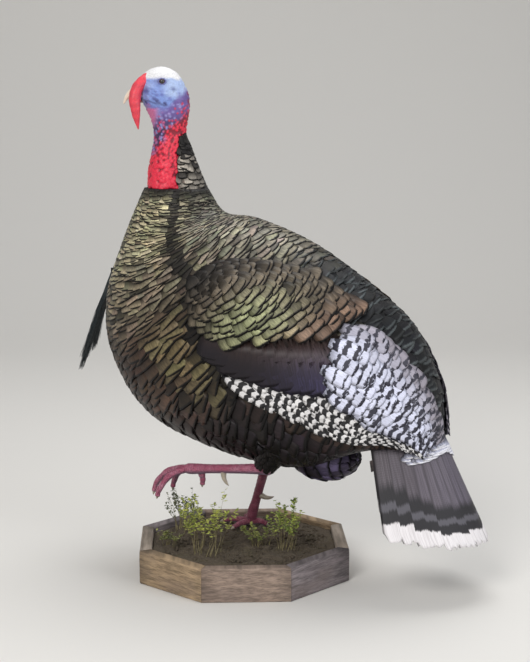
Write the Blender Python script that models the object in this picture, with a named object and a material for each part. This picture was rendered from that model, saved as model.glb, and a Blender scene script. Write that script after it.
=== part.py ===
"""A full-body tom turkey decoy standing on an octagonal wooden base, in metres, +Z up.

The origin is the centre of the base's underside. +X is the bird's tail side as seen from its left, and the bird
is turned by BIRD_TURN on the base. Bird pieces are modelled with +X forward, +Y to the bird's left.
"""

import math

import bmesh
import bpy
import numpy as np

# Fits: the gap left where two pieces meet, and the running gap of a turning piece
SEAT = 0.0003
RUNNING_GAP = 0.0005

# How far a cutter runs past the piece that it pierces
OVERRUN = 0.010

# Base box
BASE_ACROSS_FLATS = 0.406
BOARD_HEIGHT = 0.066
BOARD_THICKNESS = 0.024
FLOOR_THICKNESS = 0.016
SOIL_TOP = 0.058
NUT_RECESS_DEPTH = 0.010
NUT_RECESS_RADIUS = 0.016
WASHER_THICKNESS = 0.0015
WASHER_MARGIN = 0.004
NUT_WALL = 0.004
NUT_HEIGHT = 0.0055

# Bird on the base
BIRD_TURN = math.radians(155)
BIRD_OFFSET_Y = 0.030

# Body stations from neck to vent: breast or belly point and back point (forward, up), then half width.
BODY_STATIONS = (
    (0.205, 0.751, 0.079, 0.751, 0.058),
    (0.249, 0.648, 0.045, 0.706, 0.086),
    (0.285, 0.528, -0.026, 0.696, 0.124),
    (0.272, 0.412, -0.140, 0.653, 0.148),
    (0.190, 0.299, -0.255, 0.580, 0.156),
    (0.032, 0.238, -0.346, 0.503, 0.148),
    (-0.130, 0.219, -0.396, 0.402, 0.120),
    (-0.248, 0.266, -0.410, 0.314, 0.084),
)
COLLAR_STATION = 1.0
RUMP_STATION = 7.0
FORM_END_STATION = 6.2
PLUMAGE_THICKNESS = 0.006
BODY_SIDES = 28
RINGS_PER_STATION = 2.5

# Wings, in station and angle round the body from the belly line (degrees)
WING_LOW_EDGE = ((2.6, 104), (3.0, 98), (3.4, 92), (3.75, 87), (4.4, 82), (5.0, 80), (6.0, 82), (7.0, 96))
WING_TOP_EDGE = ((2.6, 122), (3.0, 140), (3.5, 152), (4.9, 160), (6.5, 165), (7.0, 166))
WING_PANEL_LINE = ((2.6, 109), (3.3, 100), (3.66, 98), (4.1, 107), (4.64, 126), (5.6, 130))
WING_LAYER_THICKNESS = 0.0040
WING_LAYER_GAP = 0.0014
WING_LIFT = 0.0017
PRIMARIES_SPAN = (4.3, 6.98)
SECONDARIES_SPAN = (3.0, 5.6)
COVERTS_SPAN = (2.62, 4.8)

# Head, standing on the neck rod: height above the neck joint, front, back, half width
NECK_AXIS = (0.155, 0.0)
NECK_JOINT_HEIGHT = BODY_STATIONS[0][1]
COLLAR_DROP = NECK_JOINT_HEIGHT - (BODY_STATIONS[1][1] + BODY_STATIONS[1][3]) / 2
HEAD_TURN_AT_REST = math.radians(25)
HEAD_SECTIONS = (
    (0.0000, 0.042, -0.026, 0.044),
    (0.0390, 0.040, -0.026, 0.040),
    (0.0950, 0.030, -0.030, 0.029),
    (0.1260, 0.033, -0.034, 0.029),
    (0.1540, 0.046, -0.040, 0.033),
    (0.1830, 0.058, -0.038, 0.035),
    (0.2120, 0.058, -0.025, 0.030),
    (0.2235, 0.048, -0.016, 0.024),
    (0.2310, 0.036, -0.004, 0.016),
    (0.2351, 0.022, 0.008, 0.006),
)
FACE_SECTION = HEAD_SECTIONS[5]
NECK_ROD_RADIUS = 0.004
NECK_ROD_IN_BODY = 0.110
NECK_ROD_IN_HEAD = 0.060
EYE_RADIUS = 0.0058
EYE_FORWARD = 0.013
EYE_HEIGHT = 0.207
EYE_OUT = 0.0290
BEAK_ROOT_RADIUS = 0.0085
BEAK_TIP_RADIUS = 0.0016
LOWER_BEAK_SHARE = 0.62
UPPER_BEAK_ROUTE = ((-0.020, 0.013), (-0.002, 0.011), (0.013, 0.004), (0.024, -0.006), (0.031, -0.019))
LOWER_BEAK_ROUTE = ((-0.020, -0.012), (-0.006, -0.012), (0.006, -0.013), (0.014, -0.016), (0.020, -0.021))
SNOOD_RADIUS = 0.0105
SNOOD_TAPER = (0.60, 0.90, 1.00, 1.00, 0.90, 0.66, 0.22)
SNOOD_ROUTE = (
    (0.034, 0.000, 0.2235),
    (0.047, 0.006, 0.2160),
    (0.0575, 0.017, 0.2000),
    (0.0625, 0.023, 0.1840),
    (0.0620, 0.026, 0.1600),
    (0.0600, 0.026, 0.1360),
    (0.0590, 0.026, 0.1140),
)
NAPE_HEIGHT = 0.100
NAPE_DEPTH = 0.044
NAPE_EDGE = 0.0022
NAPE_SWELL = 0.9
NAPE_FROM = 132

# Beard, hung from a pin in the breast
BEARD_STATION = 1.55
BEARD_STRANDS_ACROSS = 15
BEARD_STRANDS_DEEP = 10
BEARD_WIDTH = 0.030
BEARD_DEPTH = 0.010
BEARD_PLATE = 0.006
BEARD_LENGTH = 0.228
BEARD_LEAN = math.radians(26)
BEARD_DROOP = math.radians(14)
BEARD_TIP_SPREAD = 0.80
STRAND_SHARE = 0.22
BEARD_PIN_RADIUS = 0.0020
BEARD_KNUCKLE = 0.0055
BEARD_EAR = 0.003
BEARD_PROUD = 0.002
BRACKET_HALF_DEPTH = 0.014
BRACKET_MARGIN = 0.002
KNUCKLE_ROOM = (0.016, 0.013)
KNUCKLE_ROOM_SHIFT = (0.006, 0.0, -0.002)

# Tail, on a bolt across the rump
TAIL_AXIS = (-0.383, 0.309)
TAIL_DROOP = math.radians(65)
TAIL_FEATHERS = 9
TAIL_LENGTH = 0.234
TAIL_OUTER_LENGTH = 0.128
TAIL_ROOT = 0.016
TAIL_SIDE_RISE = 0.010
TAIL_SIDE_FADE = 0.120
TAIL_TIP_ROUND = 0.010
TAIL_ROOT_HALF_WIDTH = 0.082
TAIL_TIP_HALF_WIDTH = 0.182
TAIL_ROOT_ARCH = 0.105
TAIL_TIP_ARCH = 0.134
TAIL_FEATHER_SHARE = 0.17
TAIL_SADDLE_LENGTH = 0.018
TAIL_SADDLE_THICKNESS = 0.005
TAIL_SADDLE_RISE = 0.005
TAIL_FEATHER_THICKNESS = 0.0014
TAIL_LAYER_STEP = 0.0022
TAIL_TONGUE_WIDTH = 0.024
TAIL_TONGUE_HALF = 0.007
TAIL_CHEEK = 0.005
TAIL_CHEEK_HALF = 0.008
TAIL_CHEEK_WALL = 0.0025
TAIL_STEM = 0.065
TAIL_BOLT_RADIUS = 0.003
BOLT_HEAD_RADIUS = 0.006
BOLT_HEAD_HEIGHT = 0.004
BOLT_END_SHOWING = 0.002

# Legs: routes in the bird's frame (forward, left, up)
LEG_ROD_RADIUS = 0.004
ROD_STRAIGHT_IN_SOIL = 0.020
ROD_END_SHOWING = 0.0015
LEG_WIRE_RADIUS = 0.003
RIGHT_FOOT = (0.012, -0.076)
RIGHT_HOCK = (-0.022, -0.070, 0.196)
RIGHT_HIP = (-0.075, -0.066, 0.330)
ANKLE_ABOVE_SOIL = 0.026
LEFT_HIP = (-0.120, 0.066, 0.330)
LEFT_HOCK = (-0.075, 0.066, 0.220)
LEFT_ANKLE = (0.098, 0.060, 0.203)
HOCK_RADIUS = 0.0125
SHANK_RADIUS = 0.0095
TOE_RADIUS = 0.0070
CLAW_RADIUS = 0.0022
RIGHT_TOES = ((6, 0.070), (62, 0.056), (-50, 0.056), (186, 0.034))
LEFT_TOE_ROOT = (-0.006, 0.0, 0.0)
LEFT_TOES = (
    ((0.034, -0.002, -0.008), (0.064, -0.004, -0.034), (0.074, -0.004, -0.062)),
    ((0.024, 0.016, -0.012), (0.044, 0.026, -0.040), (0.050, 0.028, -0.060)),
    ((0.022, -0.020, -0.012), (0.040, -0.032, -0.036), (0.046, -0.034, -0.056)),
)
HALLUX_UP_SHANK = 0.030
HALLUX_ROUTE = ((-0.004, -0.008, -0.020), (-0.002, -0.010, -0.040))
HALLUX_SHARE = 0.85
TOE_ARCH = 0.002
WIRE_IN_SHANK = 0.45
RIGHT_SPUR_PLACE = 0.62
LEFT_SPUR_PLACE = 0.52
SPUR_RADIUS = 0.0048
SPUR_LENGTH = 0.026
SPUR_TIP_RADIUS = 0.0012
THIGH_TOP_RADIUS = 0.062
THIGH_LOW_RADIUS = 0.020

# Undertail feather lobe
VENT_CENTRE = (-0.175, 0.0, 0.240)
VENT_HALF = (0.070, 0.060, 0.047)

# Greenery: place on the base (x, y), height, leaf length
SPRIGS = (
    (-0.073, -0.072, 0.100, 0.028),
    (-0.117, 0.077, 0.082, 0.024),
    (0.036, -0.031, 0.048, 0.020),
    (0.086, -0.053, 0.082, 0.024),
    (-0.145, -0.024, 0.036, 0.016),
)
SPRIG_STEM_RADIUS = 0.0016
SPRIG_TIERS = 5
SPRIG_LEAF_STEPS = ((3.2, 0.20, 0.30), (1.5, 0.6, 0.10), (0.2, 0.5, -0.10))

BIRD_LEFT = np.array((0.0, 1.0, 0.0))


def clear_scene():
    for obj in list(bpy.data.objects):
        bpy.data.objects.remove(obj)


def finish(name, colour, roughness, metallic=0.0):
    """A Principled material of one colour."""
    made = bpy.data.materials.new(name)
    made.use_nodes = True
    shader = made.node_tree.nodes["Principled BSDF"]
    shader.inputs["Base Color"].default_value = (*colour, 1.0)
    shader.inputs["Roughness"].default_value = roughness
    shader.inputs["Metallic"].default_value = metallic
    return made


def empty(name, parent, place, turn=0.0):
    """A frame that pieces are parented to."""
    made = bpy.data.objects.new(name, None)
    made.parent = parent
    made.location = place
    made.rotation_euler = (0.0, 0.0, turn)
    bpy.context.scene.collection.objects.link(made)
    return made


def piece(name, points, faces, parent, coat):
    """One object from points and faces, with its faces turned outwards."""
    mesh = bpy.data.meshes.new(name)
    mesh.from_pydata([tuple(map(float, p)) for p in points], [], [tuple(map(int, f)) for f in faces])
    work = bmesh.new()
    work.from_mesh(mesh)
    bmesh.ops.recalc_face_normals(work, faces=work.faces)
    work.to_mesh(mesh)
    work.free()
    mesh.shade_smooth()
    mesh.set_sharp_from_angle(angle=math.radians(40))
    made = bpy.data.objects.new(name, mesh)
    made.parent = parent
    bpy.context.scene.collection.objects.link(made)
    if coat is not None:
        mesh.materials.append(coat)
    return made


def grid(rows, columns, wrap_columns):
    """Four-sided faces over a grid of rows by columns."""
    faces = []
    for i in range(rows - 1):
        for j in range(columns if wrap_columns else columns - 1):
            n = (j + 1) % columns
            faces.append((i * columns + j, i * columns + n, (i + 1) * columns + n, (i + 1) * columns + j))
    return faces


def strip(rows, columns, wrap_columns):
    """Triangles over a grid of rows by columns, split the same way everywhere so that layers nest."""
    faces = []
    for a, b, c, d in grid(rows, columns, wrap_columns):
        faces += [(a, b, c), (a, c, d)]
    return faces


def loft(name, rings, parent, coat):
    """A solid through closed rings, capped at both ends."""
    rings = np.asarray(rings, float)
    rows, columns = rings.shape[:2]
    faces = strip(rows, columns, True)
    faces.append(tuple(range(columns)))
    faces.append(tuple(range((rows - 1) * columns, rows * columns)))
    return piece(name, rings.reshape(-1, 3), faces, parent, coat)


def sleeve(name, outer, inner, parent, coat):
    """An open tube between outer and inner rings, closed by a flat rim at each end."""
    rows, columns = outer.shape[:2]
    count = rows * columns
    faces = strip(rows, columns, True)
    faces += [tuple(count + n for n in face) for face in faces]
    for first in (0, count - columns):
        for j in range(columns):
            n = (j + 1) % columns
            faces.append((first + j, first + n, count + first + n, count + first + j))
    return piece(name, np.concatenate([outer.reshape(-1, 3), inner.reshape(-1, 3)]), faces, parent, coat)


def plate(name, top, bottom, parent, coat):
    """A closed plate between two grids of the same size."""
    rows, columns = top.shape[:2]
    count = rows * columns
    faces = strip(rows, columns, False)
    faces += [tuple(count + n for n in face) for face in faces]
    rim = [j for j in range(columns)]
    rim += [i * columns + columns - 1 for i in range(1, rows)]
    rim += [(rows - 1) * columns + j for j in range(columns - 2, -1, -1)]
    rim += [i * columns for i in range(rows - 2, 0, -1)]
    for a, b in zip(rim, rim[1:] + rim[:1]):
        faces.append((a, a + count, b + count, b))
    return piece(name, np.concatenate([top.reshape(-1, 3), bottom.reshape(-1, 3)]), faces, parent, coat)


def sweep(name, route, radii, sides, parent, coat):
    """A round solid along a route, with a radius at each of its points."""
    route = np.asarray(route, float)
    along = np.gradient(route, axis=0)
    along /= np.linalg.norm(along, axis=1, keepdims=True)
    start = np.cross(along[0], (0.31, 0.90, 0.30))
    angles = np.arange(sides) * 2 * math.pi / sides
    rings = []
    for point, direction, radius in zip(route, along, np.broadcast_to(radii, len(route))):
        side = start - direction * (start @ direction)
        side /= np.linalg.norm(side)
        other = np.cross(direction, side)
        rings.append(point + radius * (np.outer(np.cos(angles), side) + np.outer(np.sin(angles), other)))
        start = side
    return loft(name, rings, parent, coat)


def prism(name, outline, low, high, parent, coat):
    """A straight prism on a flat outline."""
    outline = np.asarray(outline, float)
    rings = [np.column_stack([outline, np.full(len(outline), z)]) for z in (low, high)]
    return loft(name, rings, parent, coat)


def block(name, centre, half, parent, coat):
    """A box from its centre and half sizes."""
    centre = np.asarray(centre, float)
    half = np.asarray(half, float)
    corners = [(-1, -1), (1, -1), (1, 1), (-1, 1)]
    rings = [[centre + half * (x, y, z) for x, y in corners] for z in (-1, 1)]
    return loft(name, rings, parent, coat)


def ball(name, centre, half, parent, coat, rings=8, sides=12):
    """An ellipsoid from its centre and half sizes."""
    centre = np.asarray(centre, float)
    half = np.asarray(half, float)
    angles = np.arange(sides) * 2 * math.pi / sides
    made = []
    for tilt in np.linspace(-1, 1, rings) * math.radians(80):
        around = np.column_stack([np.cos(angles), np.sin(angles), np.full(sides, math.tan(tilt))])
        made.append(centre + half * around * math.cos(tilt))
    return loft(name, made, parent, coat)


def helper(obj):
    """Marks an object as a guide that only shapes others."""
    obj.hide_render = True
    obj.display_type = "WIRE"
    return obj


def shape(obj, tool, operation):
    modifier = obj.modifiers.new(operation.lower(), "BOOLEAN")
    modifier.operation = operation
    modifier.object = tool


def cut(obj, *tools):
    for tool in tools:
        shape(obj, tool, "DIFFERENCE")


def join(obj, *others):
    for other in others:
        shape(obj, helper(other), "UNION")


def spline(rows, at):
    """Smooth values through the rows of a table, read at positions counted in rows."""
    rows = np.asarray(rows, float)
    at = np.asarray(at, float)
    slopes = np.gradient(rows, axis=0)
    low = np.clip(np.floor(at).astype(int), 0, len(rows) - 2)
    u = (at - low)[..., None]
    first, last = rows[low], rows[low + 1]
    rise = last - first
    bend = 3 * rise - 2 * slopes[low] - slopes[low + 1]
    return first + u * slopes[low] + u**2 * bend + u**3 * (slopes[low] + slopes[low + 1] - 2 * rise)


def body_points(station, angle, out=0.0):
    """Points of the body's surface, moved out: angle 0 is the belly line and 90 degrees the left side."""
    front_x, front_z, back_x, back_z, width = np.moveaxis(spline(BODY_STATIONS, station), -1, 0)
    middle = np.stack([(front_x + back_x) / 2, 0 * front_x, (front_z + back_z) / 2], -1)
    reach = np.stack([(front_x - back_x) / 2, 0 * front_x, (front_z - back_z) / 2], -1)
    depth = np.linalg.norm(reach, axis=-1)[..., None]
    across = (depth + np.asarray(out)[..., None]) * np.cos(angle)[..., None] * reach / depth
    return middle + across + ((width + out) * np.sin(angle))[..., None] * BIRD_LEFT


def body_rings(first, last, out):
    """Rings of the body's surface between two stations."""
    stations = np.linspace(first, last, int(round((last - first) * RINGS_PER_STATION)) + 1)
    angles = np.arange(BODY_SIDES) * 2 * math.pi / BODY_SIDES
    grid_station, grid_angle = np.meshgrid(stations, angles, indexing="ij")
    return body_points(grid_station, grid_angle, np.full(grid_station.shape, out))


def collar_shift():
    """The small step along the body that parts the neck collar from the body behind it."""
    ends = body_points(np.array([COLLAR_STATION - 0.05, COLLAR_STATION + 0.05]), np.full(2, math.pi / 2))
    along = ends[1] - ends[0]
    return SEAT * along / np.linalg.norm(along)


def octagon(across_flats):
    """Corners of an octagon with two flats facing the viewer and the back."""
    radius = across_flats / 2 / math.cos(math.pi / 8)
    angles = (np.arange(8) + 0.5) * math.pi / 4
    return radius * np.column_stack([np.cos(angles), np.sin(angles)])


def make_base(coats):
    """Eight mitred boards round a floor panel and the soil."""
    outer = octagon(BASE_ACROSS_FLATS)
    inner = octagon(BASE_ACROSS_FLATS - 2 * BOARD_THICKNESS)
    for i in range(8):
        k = (i + 1) % 8
        tangent = (outer[k] - outer[i]) / np.linalg.norm(outer[k] - outer[i])
        ease = tangent * SEAT / 2 / math.cos(math.pi / 8)
        outline = [outer[i] + ease, outer[k] - ease, inner[k] - ease, inner[i] + ease]
        prism(f"base_board_{i + 1}", outline, 0.0, BOARD_HEIGHT, None, coats["board"])
    inside = BASE_ACROSS_FLATS - 2 * BOARD_THICKNESS - 2 * SEAT
    floor = prism("base_floor", octagon(inside), 0.0, FLOOR_THICKNESS, None, coats["board"])
    soil = prism("soil_fill", octagon(inside), FLOOR_THICKNESS + SEAT, SOIL_TOP, None, coats["soil"])
    return floor, soil


def make_rod(bird, coats, pierced):
    """The rod from the body form down the standing leg and through the base, with its washer and nut."""
    foot = (*RIGHT_FOOT, SOIL_TOP + ANKLE_ABOVE_SOIL)
    end = (*RIGHT_FOOT, NUT_RECESS_DEPTH - WASHER_THICKNESS - NUT_HEIGHT - ROD_END_SHOWING)
    lower = (*RIGHT_FOOT, SOIL_TOP - ROD_STRAIGHT_IN_SOIL)
    route = [RIGHT_HIP, RIGHT_HOCK, foot, lower, end]
    sweep("leg_rod", route, LEG_ROD_RADIUS, 10, bird, coats["steel"])
    through = [*route[:-1], (*RIGHT_FOOT, -OVERRUN)]
    bore = helper(sweep("leg_rod_bore", through, LEG_ROD_RADIUS + SEAT, 10, bird, None))
    cut(pierced["floor"], bore)
    cut(pierced["soil"], bore)
    turn = np.arange(16) * math.pi / 8
    ring = np.column_stack([np.cos(turn), np.sin(turn)])
    recess_outline = RIGHT_FOOT + NUT_RECESS_RADIUS * ring
    recess = prism("nut_recess", recess_outline, -OVERRUN, NUT_RECESS_DEPTH, bird, None)
    cut(pierced["floor"], helper(recess))
    washer_top = NUT_RECESS_DEPTH - SEAT
    washer_low = washer_top - WASHER_THICKNESS
    washer_outline = RIGHT_FOOT + (NUT_RECESS_RADIUS - WASHER_MARGIN) * ring
    washer = prism("rod_washer", washer_outline, washer_low, washer_top, bird, coats["steel"])
    cut(washer, bore)
    hexagon = (LEG_ROD_RADIUS + NUT_WALL) * ring[np.arange(6) * 16 // 6]
    nut_top = washer_low - SEAT
    nut = prism("rod_nut", RIGHT_FOOT + hexagon, nut_top - NUT_HEIGHT, nut_top, bird, coats["steel"])
    cut(nut, bore)
    return bore


def make_body(bird, coats):
    """The foam form, the plumage skin over it and the neck collar in front of it."""
    shift = collar_shift()
    inside = -PLUMAGE_THICKNESS
    form_rings = body_rings(COLLAR_STATION, FORM_END_STATION, inside - SEAT) + shift
    form = loft("body_form", form_rings, bird, coats["foam"])
    outer = body_rings(COLLAR_STATION, RUMP_STATION, 0.0) + shift
    inner = body_rings(COLLAR_STATION, RUMP_STATION, inside) + shift
    skin = sleeve("body_plumage", outer, inner, bird, coats["plumage"])
    collar = loft("neck_plumage", body_rings(0.0, COLLAR_STATION, 0.0), bird, coats["neck"])
    clearance = loft("body_clearance", body_rings(COLLAR_STATION, RUMP_STATION, SEAT) + shift, bird, None)
    return form, skin, collar, helper(clearance)


def make_wings(bird, coats):
    """Folded wings: primaries on the body, secondaries over them, coverts on top."""
    layers = (
        ("primaries", PRIMARIES_SPAN, WING_LOW_EDGE, WING_TOP_EDGE, 0),
        ("secondaries", SECONDARIES_SPAN, WING_LOW_EDGE, WING_PANEL_LINE, 1),
        ("coverts", COVERTS_SPAN, WING_PANEL_LINE, WING_TOP_EDGE, 2),
    )
    for side, sign in (("left", 1), ("right", -1)):
        for name, span, low, top, layer in layers:
            stations = np.linspace(*span, 11)
            share = np.linspace(0, 1, 9)
            low_edge = np.interp(stations, *np.array(low).T)[:, None]
            top_edge = np.interp(stations, *np.array(top).T)[:, None]
            angle = sign * np.radians(low_edge + (top_edge - low_edge) * share)
            station = np.broadcast_to(stations[:, None], angle.shape)
            inner = np.full(angle.shape, layer * (WING_LAYER_THICKNESS + WING_LAYER_GAP) + WING_LIFT)
            top_points = body_points(station, angle, inner + WING_LAYER_THICKNESS)
            plate(f"{side}_wing_{name}", top_points, body_points(station, angle, inner), bird, coats[name])


def head_rings(low, high, count, out):
    """Rings of the head and bare neck above the neck joint."""
    sections = np.asarray(HEAD_SECTIONS)
    heights = np.linspace(low, high, count)
    rows = np.interp(heights, sections[:, 0], np.arange(len(sections)))
    values = spline(sections[:, 1:], rows)
    angles = np.arange(20) * 2 * math.pi / 20
    rings = []
    for height, (front, back, width) in zip(heights, values):
        x = (front + back) / 2 + ((front - back) / 2 + out) * np.cos(angles)
        rings.append(np.column_stack([x, (width + out) * np.sin(angles), np.full(20, height)]))
    return np.array(rings)


def make_head(head, coats):
    """The cast head and neck with its eyes, beak, snood and the nape feathers behind it."""
    top = HEAD_SECTIONS[-1][0]
    cast = loft("head_cast", head_rings(RUNNING_GAP, top, 17, 0.0), head, coats["head"])
    clearance = helper(loft("head_clearance", head_rings(-OVERRUN, top + SEAT, 18, SEAT), head, None))
    for side, sign in (("left", 1), ("right", -1)):
        centre = (EYE_FORWARD, sign * EYE_OUT, EYE_HEIGHT)
        ball(f"{side}_eye", centre, (EYE_RADIUS,) * 3, head, coats["eye"], 7, 12)
        socket = ball(f"{side}_eye_socket", centre, (EYE_RADIUS + 2 * SEAT,) * 3, head, None, 7, 12)
        cut(cast, helper(socket))
    height, face = FACE_SECTION[:2]
    radii = np.linspace(BEAK_ROOT_RADIUS, BEAK_TIP_RADIUS, len(UPPER_BEAK_ROUTE))
    beaks = (("upper_beak", UPPER_BEAK_ROUTE, 1.0), ("lower_beak", LOWER_BEAK_ROUTE, LOWER_BEAK_SHARE))
    for name, route, share in beaks:
        points = [(face + ahead, 0.0, height + rise) for ahead, rise in route]
        cut(sweep(name, points, radii * share, 10, head, coats["beak"]), clearance)
    snood = sweep("snood", SNOOD_ROUTE, SNOOD_RADIUS * np.array(SNOOD_TAPER), 10, head, coats["snood"])
    cut(snood, clearance)
    heights = np.linspace(0.0, NAPE_HEIGHT, 6)
    angles = np.radians(np.linspace(NAPE_FROM, 360 - NAPE_FROM, 11))
    base_rings = head_rings(0.0, NAPE_HEIGHT, 6, 0.0)
    low = base_rings.min(axis=1)
    high = base_rings.max(axis=1)
    middle = ((low + high) / 2)[:, None, :]
    half = ((high - low) / 2)[:, None, :]
    around = np.stack([np.cos(angles), np.sin(angles), 0 * angles], -1)[None]
    inner = middle + (half + 2 * SEAT) * around
    swell = (1 - heights / NAPE_HEIGHT)[:, None, None] ** NAPE_SWELL
    edge = math.cos(math.radians(NAPE_FROM))
    fade = ((np.cos(angles) - edge) / (-1 - edge))[None, :, None]
    outer = middle + (half + NAPE_EDGE + NAPE_DEPTH * swell * fade) * around
    lift = np.array((0.0, 0.0, RUNNING_GAP))
    plate("nape_feathers", outer + lift, inner + lift, head, coats["neck"])
    return cast


def make_neck_rod(bird, coats, form, collar, cast):
    """The rod that carries the head: fixed in the body form, turning in the head's bore."""
    low = NECK_JOINT_HEIGHT - COLLAR_DROP - NECK_ROD_IN_BODY
    high = NECK_JOINT_HEIGHT + NECK_ROD_IN_HEAD
    route = [(*NECK_AXIS, low), (*NECK_AXIS, high)]
    sweep("neck_rod", route, NECK_ROD_RADIUS, 12, bird, coats["steel"])
    longer = [(*NECK_AXIS, low - SEAT), (*NECK_AXIS, high + SEAT)]
    bore = helper(sweep("neck_rod_bore", longer, NECK_ROD_RADIUS + SEAT, 12, bird, None))
    for obj in (form, collar, cast):
        cut(obj, bore)


def make_beard(bird, hinge, place, coats, skin, form):
    """Bristles fused to a root plate, hung by a knuckle on a pin between two ears on the breast."""
    half_width = BEARD_WIDTH / 2
    ear_inside = half_width + RUNNING_GAP
    ear_outside = ear_inside + BEARD_EAR
    back_plate = -BEARD_KNUCKLE - RUNNING_GAP
    centre = np.array(place) + (back_plate - BRACKET_HALF_DEPTH, 0.0, 0.0)
    size = np.array((BRACKET_HALF_DEPTH, ear_outside, BEARD_KNUCKLE + BRACKET_MARGIN))
    bracket = block("beard_bracket", centre, size, bird, coats["steel"])
    pocket = helper(block("bracket_pocket", centre, size + SEAT, bird, None))
    for sign in (-1, 1):
        middle = np.array(place) + (-BEARD_KNUCKLE, sign * (ear_inside + BEARD_EAR / 2), 0.0)
        ear = (2 * BEARD_KNUCKLE, BEARD_EAR / 2, BEARD_KNUCKLE)
        join(bracket, block(f"beard_ear_{sign}", middle, ear, bird, None))
        room = np.array(ear) + (SEAT, SEAT, SEAT)
        cut(skin, helper(block(f"ear_room_{sign}", middle, room, bird, None)))
    cut(skin, pocket)
    cut(form, pocket)
    swing = np.array((KNUCKLE_ROOM[0], ear_inside, KNUCKLE_ROOM[1]))
    room = block("knuckle_room", np.array(place) + KNUCKLE_ROOM_SHIFT, swing, bird, None)
    cut(skin, helper(room))
    cut(form, room)
    ends = [np.array(place) - ear_outside * BIRD_LEFT, np.array(place) + ear_outside * BIRD_LEFT]
    sweep("beard_pin", ends, BEARD_PIN_RADIUS, 10, bird, coats["steel"])
    longer = [ends[0] - OVERRUN * BIRD_LEFT, ends[1] + OVERRUN * BIRD_LEFT]
    bore = helper(sweep("beard_pin_bore", longer, BEARD_PIN_RADIUS + SEAT, 10, bird, None))
    cut(bracket, bore)
    route = [(0, -half_width, 0), (0, half_width, 0)]
    knuckle = sweep("beard_knuckle", route, BEARD_KNUCKLE, 12, hinge, coats["steel"])
    cut(knuckle, bore)
    work = bmesh.new()
    bmesh.ops.create_grid(work, x_segments=BEARD_STRANDS_ACROSS, y_segments=BEARD_STRANDS_DEEP, size=0.5)
    bmesh.ops.triangulate(work, faces=work.faces)
    roots = list(work.faces)
    rim = bmesh.ops.extrude_face_region(work, geom=roots)
    raised = [v for v in rim["geom"] if isinstance(v, bmesh.types.BMVert)]
    bmesh.ops.translate(work, verts=raised, vec=(0, 0, 1))
    strands = [f for f in rim["geom"] if isinstance(f, bmesh.types.BMFace)]
    for vert in work.verts:
        vert.co = (vert.co.y * BEARD_DEPTH, vert.co.x * BEARD_WIDTH, -vert.co.z * BEARD_PLATE)
    bmesh.ops.inset_individual(work, faces=strands, thickness=STRAND_SHARE * BEARD_DEPTH / BEARD_STRANDS_DEEP)
    for share in (0.45, 1.0):
        strands = bmesh.ops.extrude_discrete_faces(work, faces=strands)["faces"]
        for number, face in enumerate(strands):
            uneven = 0.82 + 0.18 * math.cos(2.4 * number) * math.cos(0.35 * number)
            length = BEARD_LENGTH * share * (uneven if share == 1.0 else 1.0)
            step = length - (0.0 if share < 1.0 else BEARD_LENGTH * 0.45)
            middle = face.calc_center_median()
            spread = 1.0 + BEARD_TIP_SPREAD * (1.0 if share == 1.0 else 0.2)
            for vert in face.verts:
                offset = vert.co - middle
                vert.co.y = middle.y * spread + offset.y * (0.5 if share == 1.0 else 1.0)
                vert.co.x = middle.x + offset.x + step * math.sin(-BEARD_DROOP * (share - 0.45))
                vert.co.z -= step
    lean = math.cos(BEARD_LEAN), math.sin(BEARD_LEAN)
    drop = BEARD_KNUCKLE + 2 * SEAT
    for vert in work.verts:
        x, z = vert.co.x, vert.co.z - drop
        vert.co.x = x * lean[0] - z * lean[1]
        vert.co.z = x * lean[1] + z * lean[0]
    bmesh.ops.recalc_face_normals(work, faces=work.faces)
    mesh = bpy.data.meshes.new("beard")
    work.to_mesh(mesh)
    work.free()
    mesh.materials.append(coats["beard"])
    made = bpy.data.objects.new("beard", mesh)
    made.parent = hinge
    bpy.context.scene.collection.objects.link(made)


def tail_directions():
    """The way down the tail and the way out of its upper side."""
    down = np.array((-math.cos(TAIL_DROOP), 0.0, -math.sin(TAIL_DROOP)))
    return down, np.cross(BIRD_LEFT, down)


def tail_plate(name, rows, edges, layer, coat, hinge):
    """A plate on the tail's arch: rows are distances down the tail, edges shares of the arch's half width."""
    down, over = tail_directions()
    columns = max(6, int(round((edges[1] - edges[0]) * 15)))
    place = np.linspace(*edges, columns)[None, :]
    rows = np.asarray(rows)[:, None]
    tip = rows > TAIL_OUTER_LENGTH - TAIL_TIP_ROUND
    along = rows - np.where(tip, TAIL_TIP_ROUND * np.linspace(-1, 1, columns) ** 2, 0.0)
    fade = np.clip(1 - (rows - TAIL_ROOT) / TAIL_SIDE_FADE, 0, 1)
    along = along - TAIL_SIDE_RISE * fade * place**2
    share = along / TAIL_LENGTH
    half_width = TAIL_ROOT_HALF_WIDTH + (TAIL_TIP_HALF_WIDTH - TAIL_ROOT_HALF_WIDTH) * share
    arch = TAIL_ROOT_ARCH + (TAIL_TIP_ARCH - TAIL_ROOT_ARCH) * share
    rise = TAIL_SADDLE_RISE + layer - arch * place**2
    under = along[..., None] * down + (half_width * place)[..., None] * BIRD_LEFT + rise[..., None] * over
    thickness = TAIL_FEATHER_THICKNESS if layer else TAIL_SADDLE_THICKNESS
    return plate(name, under + thickness * over, under, hinge, coat)


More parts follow.
